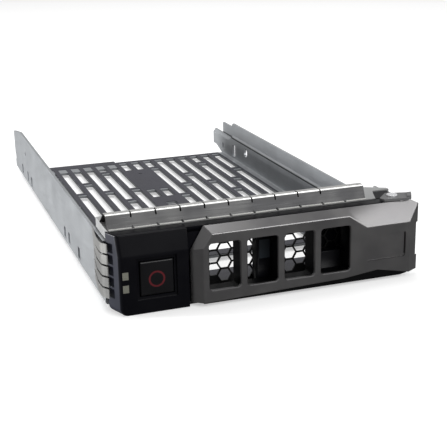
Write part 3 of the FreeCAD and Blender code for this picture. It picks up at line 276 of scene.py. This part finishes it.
# %% Film and coated mesh
def film_finish():
    finish, tree, place = new_finish("slate_polyester_film")
    waves = grain(tree, place, 22.0, (1, 2, 1))
    dust = grain(tree, place, 0.5, EVEN, 1.0)
    close_finish(tree, {
        "Base Color": two_tone(tree, waves, "2C2C35", "33333D"),
        "IOR": 1.6,
        "Specular IOR Level": 0.35,
        "Roughness": between(tree, dust, 0.40, 0.50),
        "Normal": relief(tree, waves, 0.10, 0.5),
    })
    return finish


def coated_mesh():
    finish, tree, place = new_finish("black_coated_steel_mesh")
    specks = grain(tree, place, 0.3, EVEN, 1.0)
    close_finish(tree, {
        "Base Color": two_tone(tree, specks, "0A0A0B", "101011"),
        "IOR": 1.5,
        "Roughness": between(tree, specks, 0.40, 0.52),
        "Normal": relief(tree, specks, 0.01, 0.5),
    })
    return finish


slate_film = film_finish()
black_mesh = coated_mesh()
print("with film and mesh:", len(bpy.data.materials))

# %% [markdown]
# The forms below are drawn in millimetres from the caddy's front left corner, and `at` puts them in
# the model's frame.  A solid is skinned over rings of points, one ring after the other.

# %% Solids from rings
MID_X, MID_Y = 53.15, 101.15


def at(x, y, z):
    return Vector(((x - MID_X) * MM, (y - MID_Y) * MM, z * MM))


def linked(name, mesh):
    """New object with this mesh, in the scene."""
    piece = bpy.data.objects.new(name, mesh)
    bpy.context.scene.collection.objects.link(piece)
    return piece


def skinned(name, rings):
    """Closed solid over rings that have as many points each."""
    shape = bmesh.new()
    loops = [[shape.verts.new(at(*point)) for point in ring] for ring in rings]
    for low, high in zip(loops, loops[1:]):
        for k in range(len(low)):
            n = (k + 1) % len(low)
            shape.faces.new((low[k], low[n], high[n], high[k]))
    shape.faces.new(list(reversed(loops[0])))
    shape.faces.new(loops[-1])
    bmesh.ops.recalc_face_normals(shape, faces=shape.faces)
    mesh = bpy.data.meshes.new(name)
    shape.to_mesh(mesh)
    shape.free()
    return linked(name, mesh)


def upright(name, outline, z0, z1):
    """Outline of (x, y) points swept from z0 to z1."""
    return skinned(name, [[(x, y, z) for x, y in outline] for z in (z0, z1)])


def prism(name, outline, y0, y1):
    """Outline of (x, z) points swept from y0 to y1."""
    return skinned(name, [[(x, y, z) for x, z in outline] for y in (y0, y1)])


def box(name, x0, y0, z0, x1, y1, z1):
    return upright(name, [(x0, y0), (x1, y0), (x1, y1), (x0, y1)], z0, z1)


def rod(name, x, y, radius, z0, z1, sides=32):
    turns = [2 * math.pi * k / sides for k in range(sides)]
    ring = [(x + radius * math.cos(t), y + radius * math.sin(t)) for t in turns]
    return upright(name, ring, z0, z1)


def rounded(x0, z0, x1, z1, radius, grow=0.0, steps=5):
    """Rectangle with round corners, made larger all round by grow."""
    points = []
    corners = [(x1 - radius, z1 - radius, 0), (x0 + radius, z1 - radius, 90),
               (x0 + radius, z0 + radius, 180), (x1 - radius, z0 + radius, 270)]
    for x, z, start in corners:
        for k in range(steps + 1):
            turn = math.radians(start + 90 * k / steps)
            points.append((x + (radius + grow) * math.cos(turn),
                           z + (radius + grow) * math.sin(turn)))
    return points


print("front left corner:", [round(c, 5) for c in at(0, 0, 0)])

# %% [markdown]
# Solids of the same kind cut or join each other.  Edges are rounded before the cuts, while the
# solid has few faces, and a rule says how strongly each edge is rounded.  Last, the solids of one
# piece are joined, and its normals are evened, so flat faces stay flat beside their round edges.

# %% Cutting, rounding and joining
def settle(piece):
    """Turn a piece with its modifiers into a plain mesh."""
    graph = bpy.context.evaluated_depsgraph_get()
    mesh = bpy.data.meshes.new_from_object(piece.evaluated_get(graph))
    piece.modifiers.clear()
    piece.data = mesh


def cut(piece, cutters, operation="DIFFERENCE"):
    for cutter in cutters:
        change = piece.modifiers.new(cutter.name, "BOOLEAN")
        change.operation = operation
        change.solver = "EXACT"
        change.object = cutter
    settle(piece)
    for cutter in cutters:
        bpy.data.objects.remove(cutter)


def round_some(piece, width_mm, weights, segments):
    """Bevel the edges whose weight is above zero; the rule takes an edge's ends in millimetres."""
    mesh = piece.data
    layer = mesh.attributes.new("bevel_weight_edge", "FLOAT", "EDGE")
    for edge in mesh.edges:
        ends = [mesh.vertices[v].co / MM + Vector((MID_X, MID_Y, 0)) for v in edge.vertices]
        layer.data[edge.index].value = weights(*ends)
    bevel = piece.modifiers.new("edge", "BEVEL")
    bevel.limit_method = "WEIGHT"
    bevel.width = width_mm * MM
    bevel.segments = segments
    settle(piece)


def finish_piece(pieces, name, body, node, finish, sharp=38, flat=()):
    """Join pieces into one object that stands for the model's node; flat ones aren't smoothed."""
    shape = bmesh.new()
    for piece in pieces:
        for face in piece.data.polygons:
            face.use_smooth = piece.name not in flat
        shape.from_mesh(piece.data)
        bpy.data.objects.remove(piece)
    bmesh.ops.recalc_face_normals(shape, faces=shape.faces)
    mesh = bpy.data.meshes.new(name)
    shape.to_mesh(mesh)
    shape.free()
    mesh.materials.clear()
    mesh.materials.append(finish)
    for face in mesh.polygons:
        face.material_index = 0
    mesh.set_sharp_from_angle(angle=math.radians(sharp))
    made = linked(name, mesh)
    even = made.modifiers.new("even_normals", "WEIGHTED_NORMAL")
    even.keep_sharp = True
    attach(made, body)
    if node:
        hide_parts(node)
    print(name, "faces:", len(mesh.polygons))
    return made


# %% [markdown]
# The handle is two mouldings.  The thin cover is bevelled all round and has a large facet at its
# right end.  Its lower edge rises in a flat hump.  Its two outlines, front and back, have as many
# points each, so that every bevel is one flat face between them.

# %% Outlines of the handle
HUMP_FOOT, HUMP_TOP = (78.7, 2.6), (91.2, 4.0)
FACET_FOOT, FACET_TOP = (86.7, 19.6), (80.4, 24.25)
LEFT_CREASE = (29.4, 19.81)
COVER_FRONT = [(29.4, 1.2), HUMP_FOOT, HUMP_TOP, (103.2, 1.5), (103.2, 19.6), FACET_FOOT,
               FACET_TOP, (32.4, 24.25), LEFT_CREASE]
COVER_BACK = [(26.0, 1.0), (78.7, 1.8), (91.2, 3.2), (108.0, 1.0), (108.0, 24.9), (105.0, 26.4),
              (80.4, 26.4), (30.6, 26.4), (26.0, 18.81)]
SOFT_JOINS = (HUMP_FOOT, HUMP_TOP, FACET_TOP, FACET_FOOT)
FRONT_Y, BACK_Y = -2.2, 1.2
AHEAD, BEHIND = -4.0, 3.0

WINDOWS, WINDOW_LEFT, WINDOW_PITCH, WINDOW_WIDE = 4, 31.4, 12.95, 10.65
WINDOW_LOW, WINDOW_HIGH, WINDOW_ROUND = 5.3, 21.0, 1.1
FRAME_LEFT, FRAME_RIGHT, FRAME_LOW, FRAME_FOOT, FRAME_HIGH = 30.3, 82.0, 3.9, 2.4, 22.1
FRAME_FRONT, FRAME_BACK = -1.0, 5.4
PIVOT, BORE = (99.6, 4.8), 1.25


def window_cutters(low, rings):
    """One cutter a window, through the rings' (y, grow) pairs."""
    cutters = []
    for k in range(WINDOWS):
        left = WINDOW_LEFT + k * WINDOW_PITCH
        window = (left, low, left + WINDOW_WIDE, WINDOW_HIGH, WINDOW_ROUND)
        outlines = [[(x, y, z) for x, z in rounded(*window, grow)] for y, grow in rings]
        cutters.append(skinned("window_cutter", outlines))
    return cutters


print("cover:", COVER_BACK[3][0] - COVER_BACK[0][0], "mm wide, windows:", WINDOWS)

# %% [markdown]
# The front outline has a crisp 0.3 mm round.  The joins of the hump and the facet stay soft.  A
# shallow field and two fine grooves mark where a label would go, and it is left bare.

# %% Handle cover
LABEL_LEFT, LABEL_LOW, LABEL_RIGHT, LABEL_HIGH, LABEL_ROUND = 87.3, 7.6, 101.5, 16.4, 0.3
LABEL_DEEP, RIGHT_GROOVE_DEEP, LOW_GROOVE_DEEP = 0.25, 0.9, 0.7
RIM_WIDE, RIM_DEEP = 0.26, 0.3


def cover_edges(a, b):
    """Front outline and the corners that run back from it, but not the facet's soft joins."""
    front = [v.y < FRONT_Y + 0.01 for v in (a, b)]
    if all(front):
        return 1.0
    if not any(front):
        return 0.5
    head = a if front[0] else b
    if any(abs(head.x - x) < 0.01 and abs(head.z - z) < 0.01 for x, z in SOFT_JOINS):
        return 0.0
    return 0.25 if abs(head.z - LEFT_CREASE[1]) < 0.01 else 0.9


def make_cover():
    outlines = ((FRONT_Y, COVER_FRONT), (BACK_Y, COVER_BACK))
    cover = skinned("cover", [[(x, y, z) for x, z in outline] for y, outline in outlines])
    round_some(cover, 0.3, cover_edges, 3)
    hollow = box("hollow", FRAME_LEFT, FRAME_FRONT, FRAME_LOW, FRAME_RIGHT, BEHIND, FRAME_HIGH)
    field = rounded(LABEL_LEFT, LABEL_LOW, LABEL_RIGHT, LABEL_HIGH, LABEL_ROUND)
    label = prism("label", field, AHEAD, FRONT_Y + LABEL_DEEP)
    grooves = [
        box("right_groove", 101.0, AHEAD, 8.6, 101.6, FRONT_Y + RIGHT_GROOVE_DEEP, 16.2),
        box("low_groove", 87.4, AHEAD, 7.55, 101.2, FRONT_Y + LOW_GROOVE_DEEP, 7.9),
    ]
    waist = box("waist", 107.0, AHEAD, 6.4, 109.0, BEHIND, 18.2)
    rim = [(FRONT_Y - 1.0, 0.3), (FRONT_Y, RIM_WIDE), (FRONT_Y + RIM_DEEP, 0.0), (0.5, 0.0)]
    cut(cover, [hollow, label, waist] + window_cutters(WINDOW_LOW, rim))
    cut(cover, grooves)
    return finish_piece([cover], "handle_cover", "handle", "handle", cover_abs)


make_cover()

# %% [markdown]
# A black frame sits in the cover's hollow and lines the windows.  It carries the hinge barrel and
# the lug that the catch holds.  A black lip shows under the cover's hump.

# %% Handle frame
BARREL_ROUND, BARREL_LOW, BARREL_HIGH = 3.0, 2.3, 19.8
LUG_WIDE, LUG_FRONT, LUG_LOW, LUG_HIGH = 3.0, 3.4, 8.0, 15.0


def make_frame():
    profile = [(FRAME_FRONT, FRAME_LOW), (BACK_Y, FRAME_LOW), (BACK_Y, FRAME_FOOT),
               (FRAME_BACK, FRAME_FOOT), (FRAME_BACK, FRAME_HIGH), (FRAME_FRONT, FRAME_HIGH)]
    ends = (FRAME_LEFT, FRAME_RIGHT)
    frame_block = skinned("frame", [[(x, y, z) for y, z in profile] for x in ends])
    cut(frame_block, window_cutters(4.4, [(FRAME_FRONT - 1.0, 0.0), (7.0, 0.0)]))
    x, y = PIVOT
    barrel = rod("barrel", x, y, BARREL_ROUND, BARREL_LOW, BARREL_HIGH)
    web = box("web", x - BARREL_ROUND, 1.0, BARREL_LOW, x + BARREL_ROUND, y, BARREL_HIGH)
    cut(barrel, [web], "UNION")
    cut(barrel, [rod("bore", x, y, BORE, 0.0, 26.0)])
    lug = box("lug", FRAME_LEFT - LUG_WIDE, LUG_FRONT, LUG_LOW, FRAME_LEFT + 0.2, FRAME_BACK,
              LUG_HIGH)
    under = [(29.4, 1.0), (100.0, 1.0), (102.6, 1.5), (91.2, 3.9), (78.7, 2.5), (29.4, 1.1)]
    lip = prism("lip", under, -1.9, -0.6)
    return finish_piece([frame_block, barrel, lug, lip], "handle_frame", "handle", None, frame_abs)


make_frame()

# %% [markdown]
# The lever is a steel plate on the pivot.  Its raised right tip bears on the chassis and pushes the
# caddy home when the handle closes.

# %% Lever
LEVER = [(94.2, 3.4), (95.0, 1.4), (102.6, 0.2), (104.8, 0.6), (107.2, 4.9), (105.8, 6.4),
         (98.9, 8.4)]
LEVER_TIP = [(103.2, 0.9), (104.7, 0.8), (107.1, 4.9), (105.2, 4.9)]
LEVER_LOW, LEVER_HIGH, TIP_HIGH = 26.6, 27.4, 27.9


def make_lever():
    plate = upright("lever", LEVER, LEVER_LOW, LEVER_HIGH)
    cut(plate, [upright("tip", LEVER_TIP, LEVER_HIGH - 0.1, TIP_HIGH)], "UNION")
    cut(plate, [rod("bore", *PIVOT, BORE, 26.0, 28.0)])
    return finish_piece([plate], "lever_dressed", "handle", "lever_plate", lever_sheet, 20)


make_lever()

# %% [markdown]
# The bezel's control block is the part that the eye meets first.  Its left edge is a soft bevel
# that rolls into the side, its lower left corner is round, and its brow slopes back.

# %% Control block of the bezel
BLOCK_LEFT, BEVEL_BACK, FACE_LEFT, BROW_LEFT, SIDE_RIGHT = 0.4, 6.5, 2.8, 2.36, 3.0
BLOCK_RIGHT, BLOCK_BACK, BROW_BACK, BROW_LOW, BLOCK_TOP = 25.3, 7.0, 1.5, 19.5, 26.4
BLOCK_ROUND = 2.2
CUT_FRONT, CUT_BACK = -2.0, 9.0
LIGHT_LEFT, LIGHT_RIGHT, LIGHT_TALL = 3.55, 5.55, 2.6


def block_edges(a, b):
    """How strongly each edge of the block is rounded."""
    left = max(a.x, b.x) < SIDE_RIGHT
    stands = abs(a.z - b.z) > 1.0
    low = max(a.z, b.z) < 0.1
    at_front = max(a.y, b.y) < BROW_BACK + 0.1
    if left and stands and at_front:
        return 0.5
    if left and low:
        return 1.0
    if left and not stands and min(a.z, b.z) > BLOCK_TOP - 0.1:
        return 0.2
    if at_front:
        return 0.12 if stands else 0.18
    return 0.0


def make_block():
    def ring(z, corner_x, front):
        outline = [(BLOCK_LEFT, BLOCK_BACK), (BLOCK_LEFT, BEVEL_BACK), (corner_x, front),
                   (BLOCK_RIGHT, front), (BLOCK_RIGHT, BLOCK_BACK)]
        return [(x, y, z) for x, y in outline]

    rings = [ring(0.0, FACE_LEFT, 0.0), ring(BROW_LOW, FACE_LEFT, 0.0),
             ring(BLOCK_TOP, BROW_LEFT, BROW_BACK)]
    block = skinned("block", rings)
    round_some(block, BLOCK_ROUND, block_edges, 6)
    cutters = [
        box("recess", 8.2, CUT_FRONT, 4.6, 21.4, 0.8, 18.6),
        box("shaft", 9.05, CUT_FRONT, 5.55, 20.55, CUT_BACK, 17.45),
    ]
    for name, low in (("light_low", 7.75), ("light_high", 12.05)):
        cutters.append(box(name, LIGHT_LEFT, CUT_FRONT, low, LIGHT_RIGHT, CUT_BACK,
                           low + LIGHT_TALL))
    cut(block, cutters)
    print("block faces:", len(block.data.polygons))
    return block


block = make_block()

# %% [markdown]
# The rest of the moulding is taken from the model: bars, sill and rib.  Two thin walls close the
# gap behind the handle's left end, and a third closes the space behind them.  A black screen
# stands behind the fourth window and paints shade over the lit end wall there, and a roof lies
# under the notch by the hinge.

# %% Bezel
GAP_LEFT, GAP_RIGHT, WALL_FRONT = BLOCK_RIGHT - 0.1, 29.9, 1.7
WALLS = {
    "low_wall": (GAP_LEFT, WALL_FRONT, 2.0, GAP_RIGHT, BLOCK_BACK, 7.6),
    "high_wall": (GAP_LEFT, WALL_FRONT, 15.4, GAP_RIGHT, BLOCK_BACK, 24.7),
    "back_wall": (GAP_LEFT, 11.6, 2.0, 29.6, 12.1, 24.7),
    # A black sheet that paints the shade over the lit end wall behind the fourth window.
    "end_shade_screen": (70.6, 11.2, 2.2, 91.0, 11.8, 24.4),
    "hinge_roof": (94.0, 7.4, 25.4, 103.0, 16.8, 26.2),
}


def make_rest():
    """The model's bezel without its control block."""
    mesh = nodes["bezel"].data.copy()
    shape = bmesh.new()
    shape.from_mesh(mesh)
    bmesh.ops.remove_doubles(shape, verts=shape.verts, dist=1e-6)
    for spot, normal in ((at(BLOCK_RIGHT, 0, 0), (1, 0, 0)), (at(0, BLOCK_BACK, 0), (0, 1, 0))):
        every = shape.verts[:] + shape.edges[:] + shape.faces[:]
        bmesh.ops.bisect_plane(shape, geom=every, plane_co=spot, plane_no=normal, dist=1e-7)
    corner = at(BLOCK_RIGHT, BLOCK_BACK, 0)
    middles = [(face, face.calc_center_median()) for face in shape.faces]
    inside = [face for face, mid in middles
              if mid.x < corner.x + 1e-6 and mid.y < corner.y + 1e-6]
    bmesh.ops.delete(shape, geom=inside, context="FACES")
    shape.to_mesh(mesh)
    shape.free()
    return linked("bezel_rest", mesh)


def make_bezel():
    pieces = [block, make_rest()] + [box(name, *span) for name, span in WALLS.items()]
    made = finish_piece(pieces, "bezel_dressed", "caddy", "bezel", black_abs,
                        flat=["bezel_rest", *WALLS])
    # The block's faces that look left get the painted sheen, a lighter copy of the black ABS.
    made.data.materials.append(sheen_side_abs)
    edge = at(SIDE_RIGHT, BLOCK_BACK, 0)
    for face in made.data.polygons:
        on_block = face.center.x < edge.x and face.center.y < edge.y
        face.material_index = int(on_block and face.normal.x < -0.8)
    return made


make_bezel()

# %% [markdown]
# The film reaches forward under the front plate, as far as the grille, and is pierced round the
# heads of the screws.

# %% Front of the film
APRON_LEFT, APRON_RIGHT, APRON_FRONT, APRON_REAR, APRON_THICK = 4.5, 98.5, 11.9, 19.1, 0.18
SCREWS_X, SCREWS_Y, SCREW_HOLE = (38.0, 82.0), 13.2, 2.5


def make_apron():
    top = max(corner[2] for corner in nodes["insulating_film"].bound_box) / MM
    apron = box("film_front", APRON_LEFT, APRON_FRONT, top - APRON_THICK, APRON_RIGHT, APRON_REAR,
                top)
    cut(apron, [rod("hole", x, SCREWS_Y, SCREW_HOLE, 0.0, 5.0) for x in SCREWS_X])
    return finish_piece([apron], "film_front", "caddy", None, slate_film)


make_apron()

# %% [markdown]
# Spring fingers repeat, so one finger is modelled and a node group sets it out with a pitch, a
# little play in its tilt and a fixed seed.

# %% Row by node group
GROUP_INPUTS = {"Geometry": "Geometry", "Count": "Int", "Start": "Vector", "Step": "Vector",
                "Tilt": "Float", "Axis": "Vector", "Seed": "Int"}


def repeat_group(finish):
    group = bpy.data.node_groups.new("row_of_tips", "GeometryNodeTree")
    for name, kind in GROUP_INPUTS.items():
        group.interface.new_socket(name, in_out="INPUT", socket_type="NodeSocket" + kind)
    group.interface.new_socket("Geometry", in_out="OUTPUT", socket_type="NodeSocketGeometry")
    inputs = add(group, "NodeGroupInput").outputs
    row = add(group, "GeometryNodeMeshLine", {
        "Count": inputs["Count"], "Start Location": inputs["Start"], "Offset": inputs["Step"],
    })
    low = add(group, "ShaderNodeMath", {0: inputs["Tilt"], 1: -1.0}, operation="MULTIPLY")
    play = add(group, "FunctionNodeRandomValue", {"Seed": inputs["Seed"]}, data_type="FLOAT")
    for name, source in (("Min", low.outputs[0]), ("Max", inputs["Tilt"])):
        group.links.new(source, next(s for s in play.inputs if s.name == name and s.enabled))
    tilt = next(s for s in play.outputs if s.enabled)
    turn = add(group, "ShaderNodeVectorMath", {0: inputs["Axis"], "Scale": tilt},
               operation="SCALE")
    copies = add(group, "GeometryNodeInstanceOnPoints", {
        "Points": row.outputs["Mesh"], "Instance": inputs["Geometry"],
        "Rotation": turn.outputs[0],
    })
    real = add(group, "GeometryNodeRealizeInstances", {"Geometry": copies.outputs["Instances"]})
    painted = add(group, "GeometryNodeSetMaterial", {
        "Geometry": real.outputs["Geometry"], "Material": finish,
    })
    add(group, "NodeGroupOutput", {"Geometry": painted.outputs["Geometry"]})
    return group


def set_out(piece, start, step, count, tilt, axis, seed, finish, node=None):
    """Repeat a piece drawn round the middle point; sizes and places in millimetres."""
    group = repeat_group(finish)
    piece.data.materials.append(finish)
    change = piece.modifiers.new("row", "NODES")
    change.node_group = group
    settings = {"Count": count, "Start": at(*start), "Step": Vector(step) * MM, "Tilt": tilt,
                "Axis": Vector(axis), "Seed": seed}
    for socket in group.interface.items_tree:
        if socket.in_out == "INPUT" and socket.name in settings:
            change[socket.identifier] = settings[socket.name]
    settle(piece)
    return finish_piece([piece], piece.name + "s", "caddy", node, finish)


print("inputs of a row:", ", ".join(GROUP_INPUTS))

# %% [markdown]
# The top strip's fingers end in narrow tips that lie on the front plate, painted near white as
# glints.  The side fingers bow outward and press on the wall of the neighbouring slot.

# %% Rows of fingers
TIP_COUNT, TIP_PITCH, TIP_PLAY, TIP_HALF = 11, 8.16, 0.012, (3.65, 0.3, 0.14)
SIDE_COUNT, SIDE_PITCH, SIDE_PLAY, SIDE_HALF, SIDE_THICK = 5, 3.75, 0.004, 1.56, 0.25
SIDE_BOW = [(-0.1, 3.9), (-1.45, 6.0), (-1.6, 8.5), (-1.5, 13.0), (-0.1, 24.0)]


def make_tips():
    x, y, z = TIP_HALF
    tip = box("strip_tip", MID_X - x, MID_Y - y, -z, MID_X + x, MID_Y + y, z)
    # The tips' near white finish paints the glints along the fingers' feet.
    set_out(tip, (5.2, 6.32, 26.9), (TIP_PITCH, 0, 0), TIP_COUNT, TIP_PLAY, (0, 1, 0), 4,
            tip_glint_sheet)


def make_side_fingers():
    inner = [(x + SIDE_THICK, y) for x, y in reversed(SIDE_BOW)]
    ring = [(x + MID_X, y + MID_Y) for x, y in SIDE_BOW + inner]
    finger = upright("side_finger", ring, -SIDE_HALF, SIDE_HALF)
    set_out(finger, (0.0, 0.0, 6.8), (0, 0, SIDE_PITCH), SIDE_COUNT, SIDE_PLAY, (0, 0, 1), 7,
            side_sheet, "side_finger_strip")


make_tips()
make_side_fingers()

# %% [markdown]
# The other pieces of the model keep their own meshes and only get their finishes.

# %% Paint the model's pieces
PAINT = {
    "release_button": button_abs,
    "button_ring": red_abs,
    "light_pipe_lower": clear_light,
    "light_pipe_upper": clear_light,
    "latch_catch": black_abs,
    "rib_pad": slate_pad,
    "tray": zinc_sheet,
    "insulating_film": slate_film,
    "front_plate": plate_sheet,
    "grille": black_mesh,
    "top_finger_strip": strip_sheet,
    "pivot_pin": turned_steel,
    "lip_rivets": turned_steel,
    "bezel_screws": turned_steel,
    "button_spring": drawn_wire,
    "handle_spring": drawn_wire,
}


def paint(node, finish):
    """Give a node of the model its finish."""
    if not nodes[node].data.materials:
        nodes[node].data.materials.append(finish)
    for slot in nodes[node].material_slots:
        slot.material = finish


for node, finish in PAINT.items():
    paint(node, finish)
print("painted:", len(PAINT))

# %% [markdown]
# The stage is a pale floor under a white sky, and the camera sees both as white.  Reflections see
# the sky at 0.42 and the floor as dark grey, so black plastic stays black, and the floor keeps the
# object's shadow.

# %% Floor and sky
FLOOR_SPAN, FLOOR_DOWN, FLOOR_GLOW, FLOOR_MIRRORED = 2.4, 0.0002, 0.45, 0.17
SKY_LIGHT, SKY_SEEN = 0.42, 1.0
WHITE = linear("FFFFFF")


def make_floor():
    bpy.ops.mesh.primitive_plane_add(size=FLOOR_SPAN, location=(0, 0, -FLOOR_DOWN))
    floor = bpy.context.object
    floor.name = "studio_floor"
    finish, tree, place = new_finish("pale_floor")
    path = add(tree, "ShaderNodeLightPath").outputs

    def glow(strength):
        links = {"Color": WHITE, "Strength": strength}
        return add(tree, "ShaderNodeEmission", links).outputs[0]

    def either(ray, otherwise, shader):
        links = {0: path[ray], 1: otherwise, 2: shader}
        return add(tree, "ShaderNodeMixShader", links).outputs[0]

    matt = add(tree, "ShaderNodeBsdfDiffuse", {"Color": linear("D8D8D8")}).outputs[0]
    shine = either("Is Camera Ray", glow(0.0), glow(FLOOR_GLOW))
    seen = add(tree, "ShaderNodeAddShader", {0: matt, 1: shine}).outputs[0]
    both = either("Is Glossy Ray", seen, glow(FLOOR_MIRRORED))
    add(tree, "ShaderNodeOutputMaterial", {"Surface": both})
    floor.data.materials.append(finish)
    return floor


def make_sky():
    world = bpy.data.worlds.new("studio_sky")
    world.use_nodes = True
    tree = world.node_tree
    tree.nodes.clear()
    path = add(tree, "ShaderNodeLightPath").outputs
    rays = {0: path["Is Camera Ray"], 1: path["Is Transmission Ray"]}
    seen = add(tree, "ShaderNodeMath", rays, operation="MAXIMUM").outputs[0]
    strength = add(tree, "ShaderNodeMapRange", {
        "Value": seen, "To Min": SKY_LIGHT, "To Max": SKY_SEEN,
    }).outputs["Result"]
    sky = add(tree, "ShaderNodeBackground", {"Color": WHITE, "Strength": strength})
    add(tree, "ShaderNodeOutputWorld", {"Surface": sky.outputs[0]})
    bpy.context.scene.world = world


make_floor()
make_sky()
print("floor:", FLOOR_SPAN, "m, sky light:", SKY_LIGHT)

# %% [markdown]
# Three soft area lamps light the object at a plain level, so colours render as written.  The low
# one on the left brightens the tray's long rail.

# %% Lamps
LAMPS = {
    # name: (place, target, size in metres, watts)
    "top_softbox": ((0.05, 0.35, 1.0), (0, 0, 0), 0.7, 6.0),
    "front_softbox": ((0.31, -0.78, 0.54), (0, -0.1, 0.02), 0.6, 5.0),
    "left_softbox": ((-1.0, 0.25, 0.085), (0, 0, 0.012), 0.13, 20.0),
}


def soft_lamp(name, place, target, size, watts):
    lamp = bpy.data.lights.new(name, "AREA")
    lamp.size = size
    lamp.energy = watts
    holder = linked(name, lamp)
    holder.location = place
    aim = Vector(target) - Vector(place)
    holder.rotation_euler = aim.to_track_quat("-Z", "Y").to_euler()


for name, settings in LAMPS.items():
    soft_lamp(name, *settings)
print("lamps:", len(LAMPS))

# %% [markdown]
# The camera stands in front of the left corner, a little above, with a long lens.  Two of its axes
# are given as directions in the model's own frame, and the third stands square to them.

# %% Camera
CAMERA_PLACE = (-0.11400, -0.38096, 0.12129)
CAMERA_RIGHT = Vector((0.94168, -0.33598, -0.01895))
CAMERA_UP = Vector((0.11928, 0.28060, 0.95239))
LENS_MM, SENSOR_MM, CLIP_START = 79.28, 36.0, 0.01


def make_camera():
    data = bpy.data.cameras.new("camera")
    data.sensor_width = SENSOR_MM
    data.lens = LENS_MM
    data.clip_start = CLIP_START
    camera = linked("camera", data)
    back = CAMERA_RIGHT.cross(CAMERA_UP)
    turn = Matrix((CAMERA_RIGHT, CAMERA_UP, back)).transposed().to_4x4()
    camera.matrix_world = Matrix.Translation(CAMERA_PLACE) @ turn
    bpy.context.scene.camera = camera


make_camera()
bpy.context.scene.view_settings.view_transform = "Standard"
print("lens:", LENS_MM, "mm")
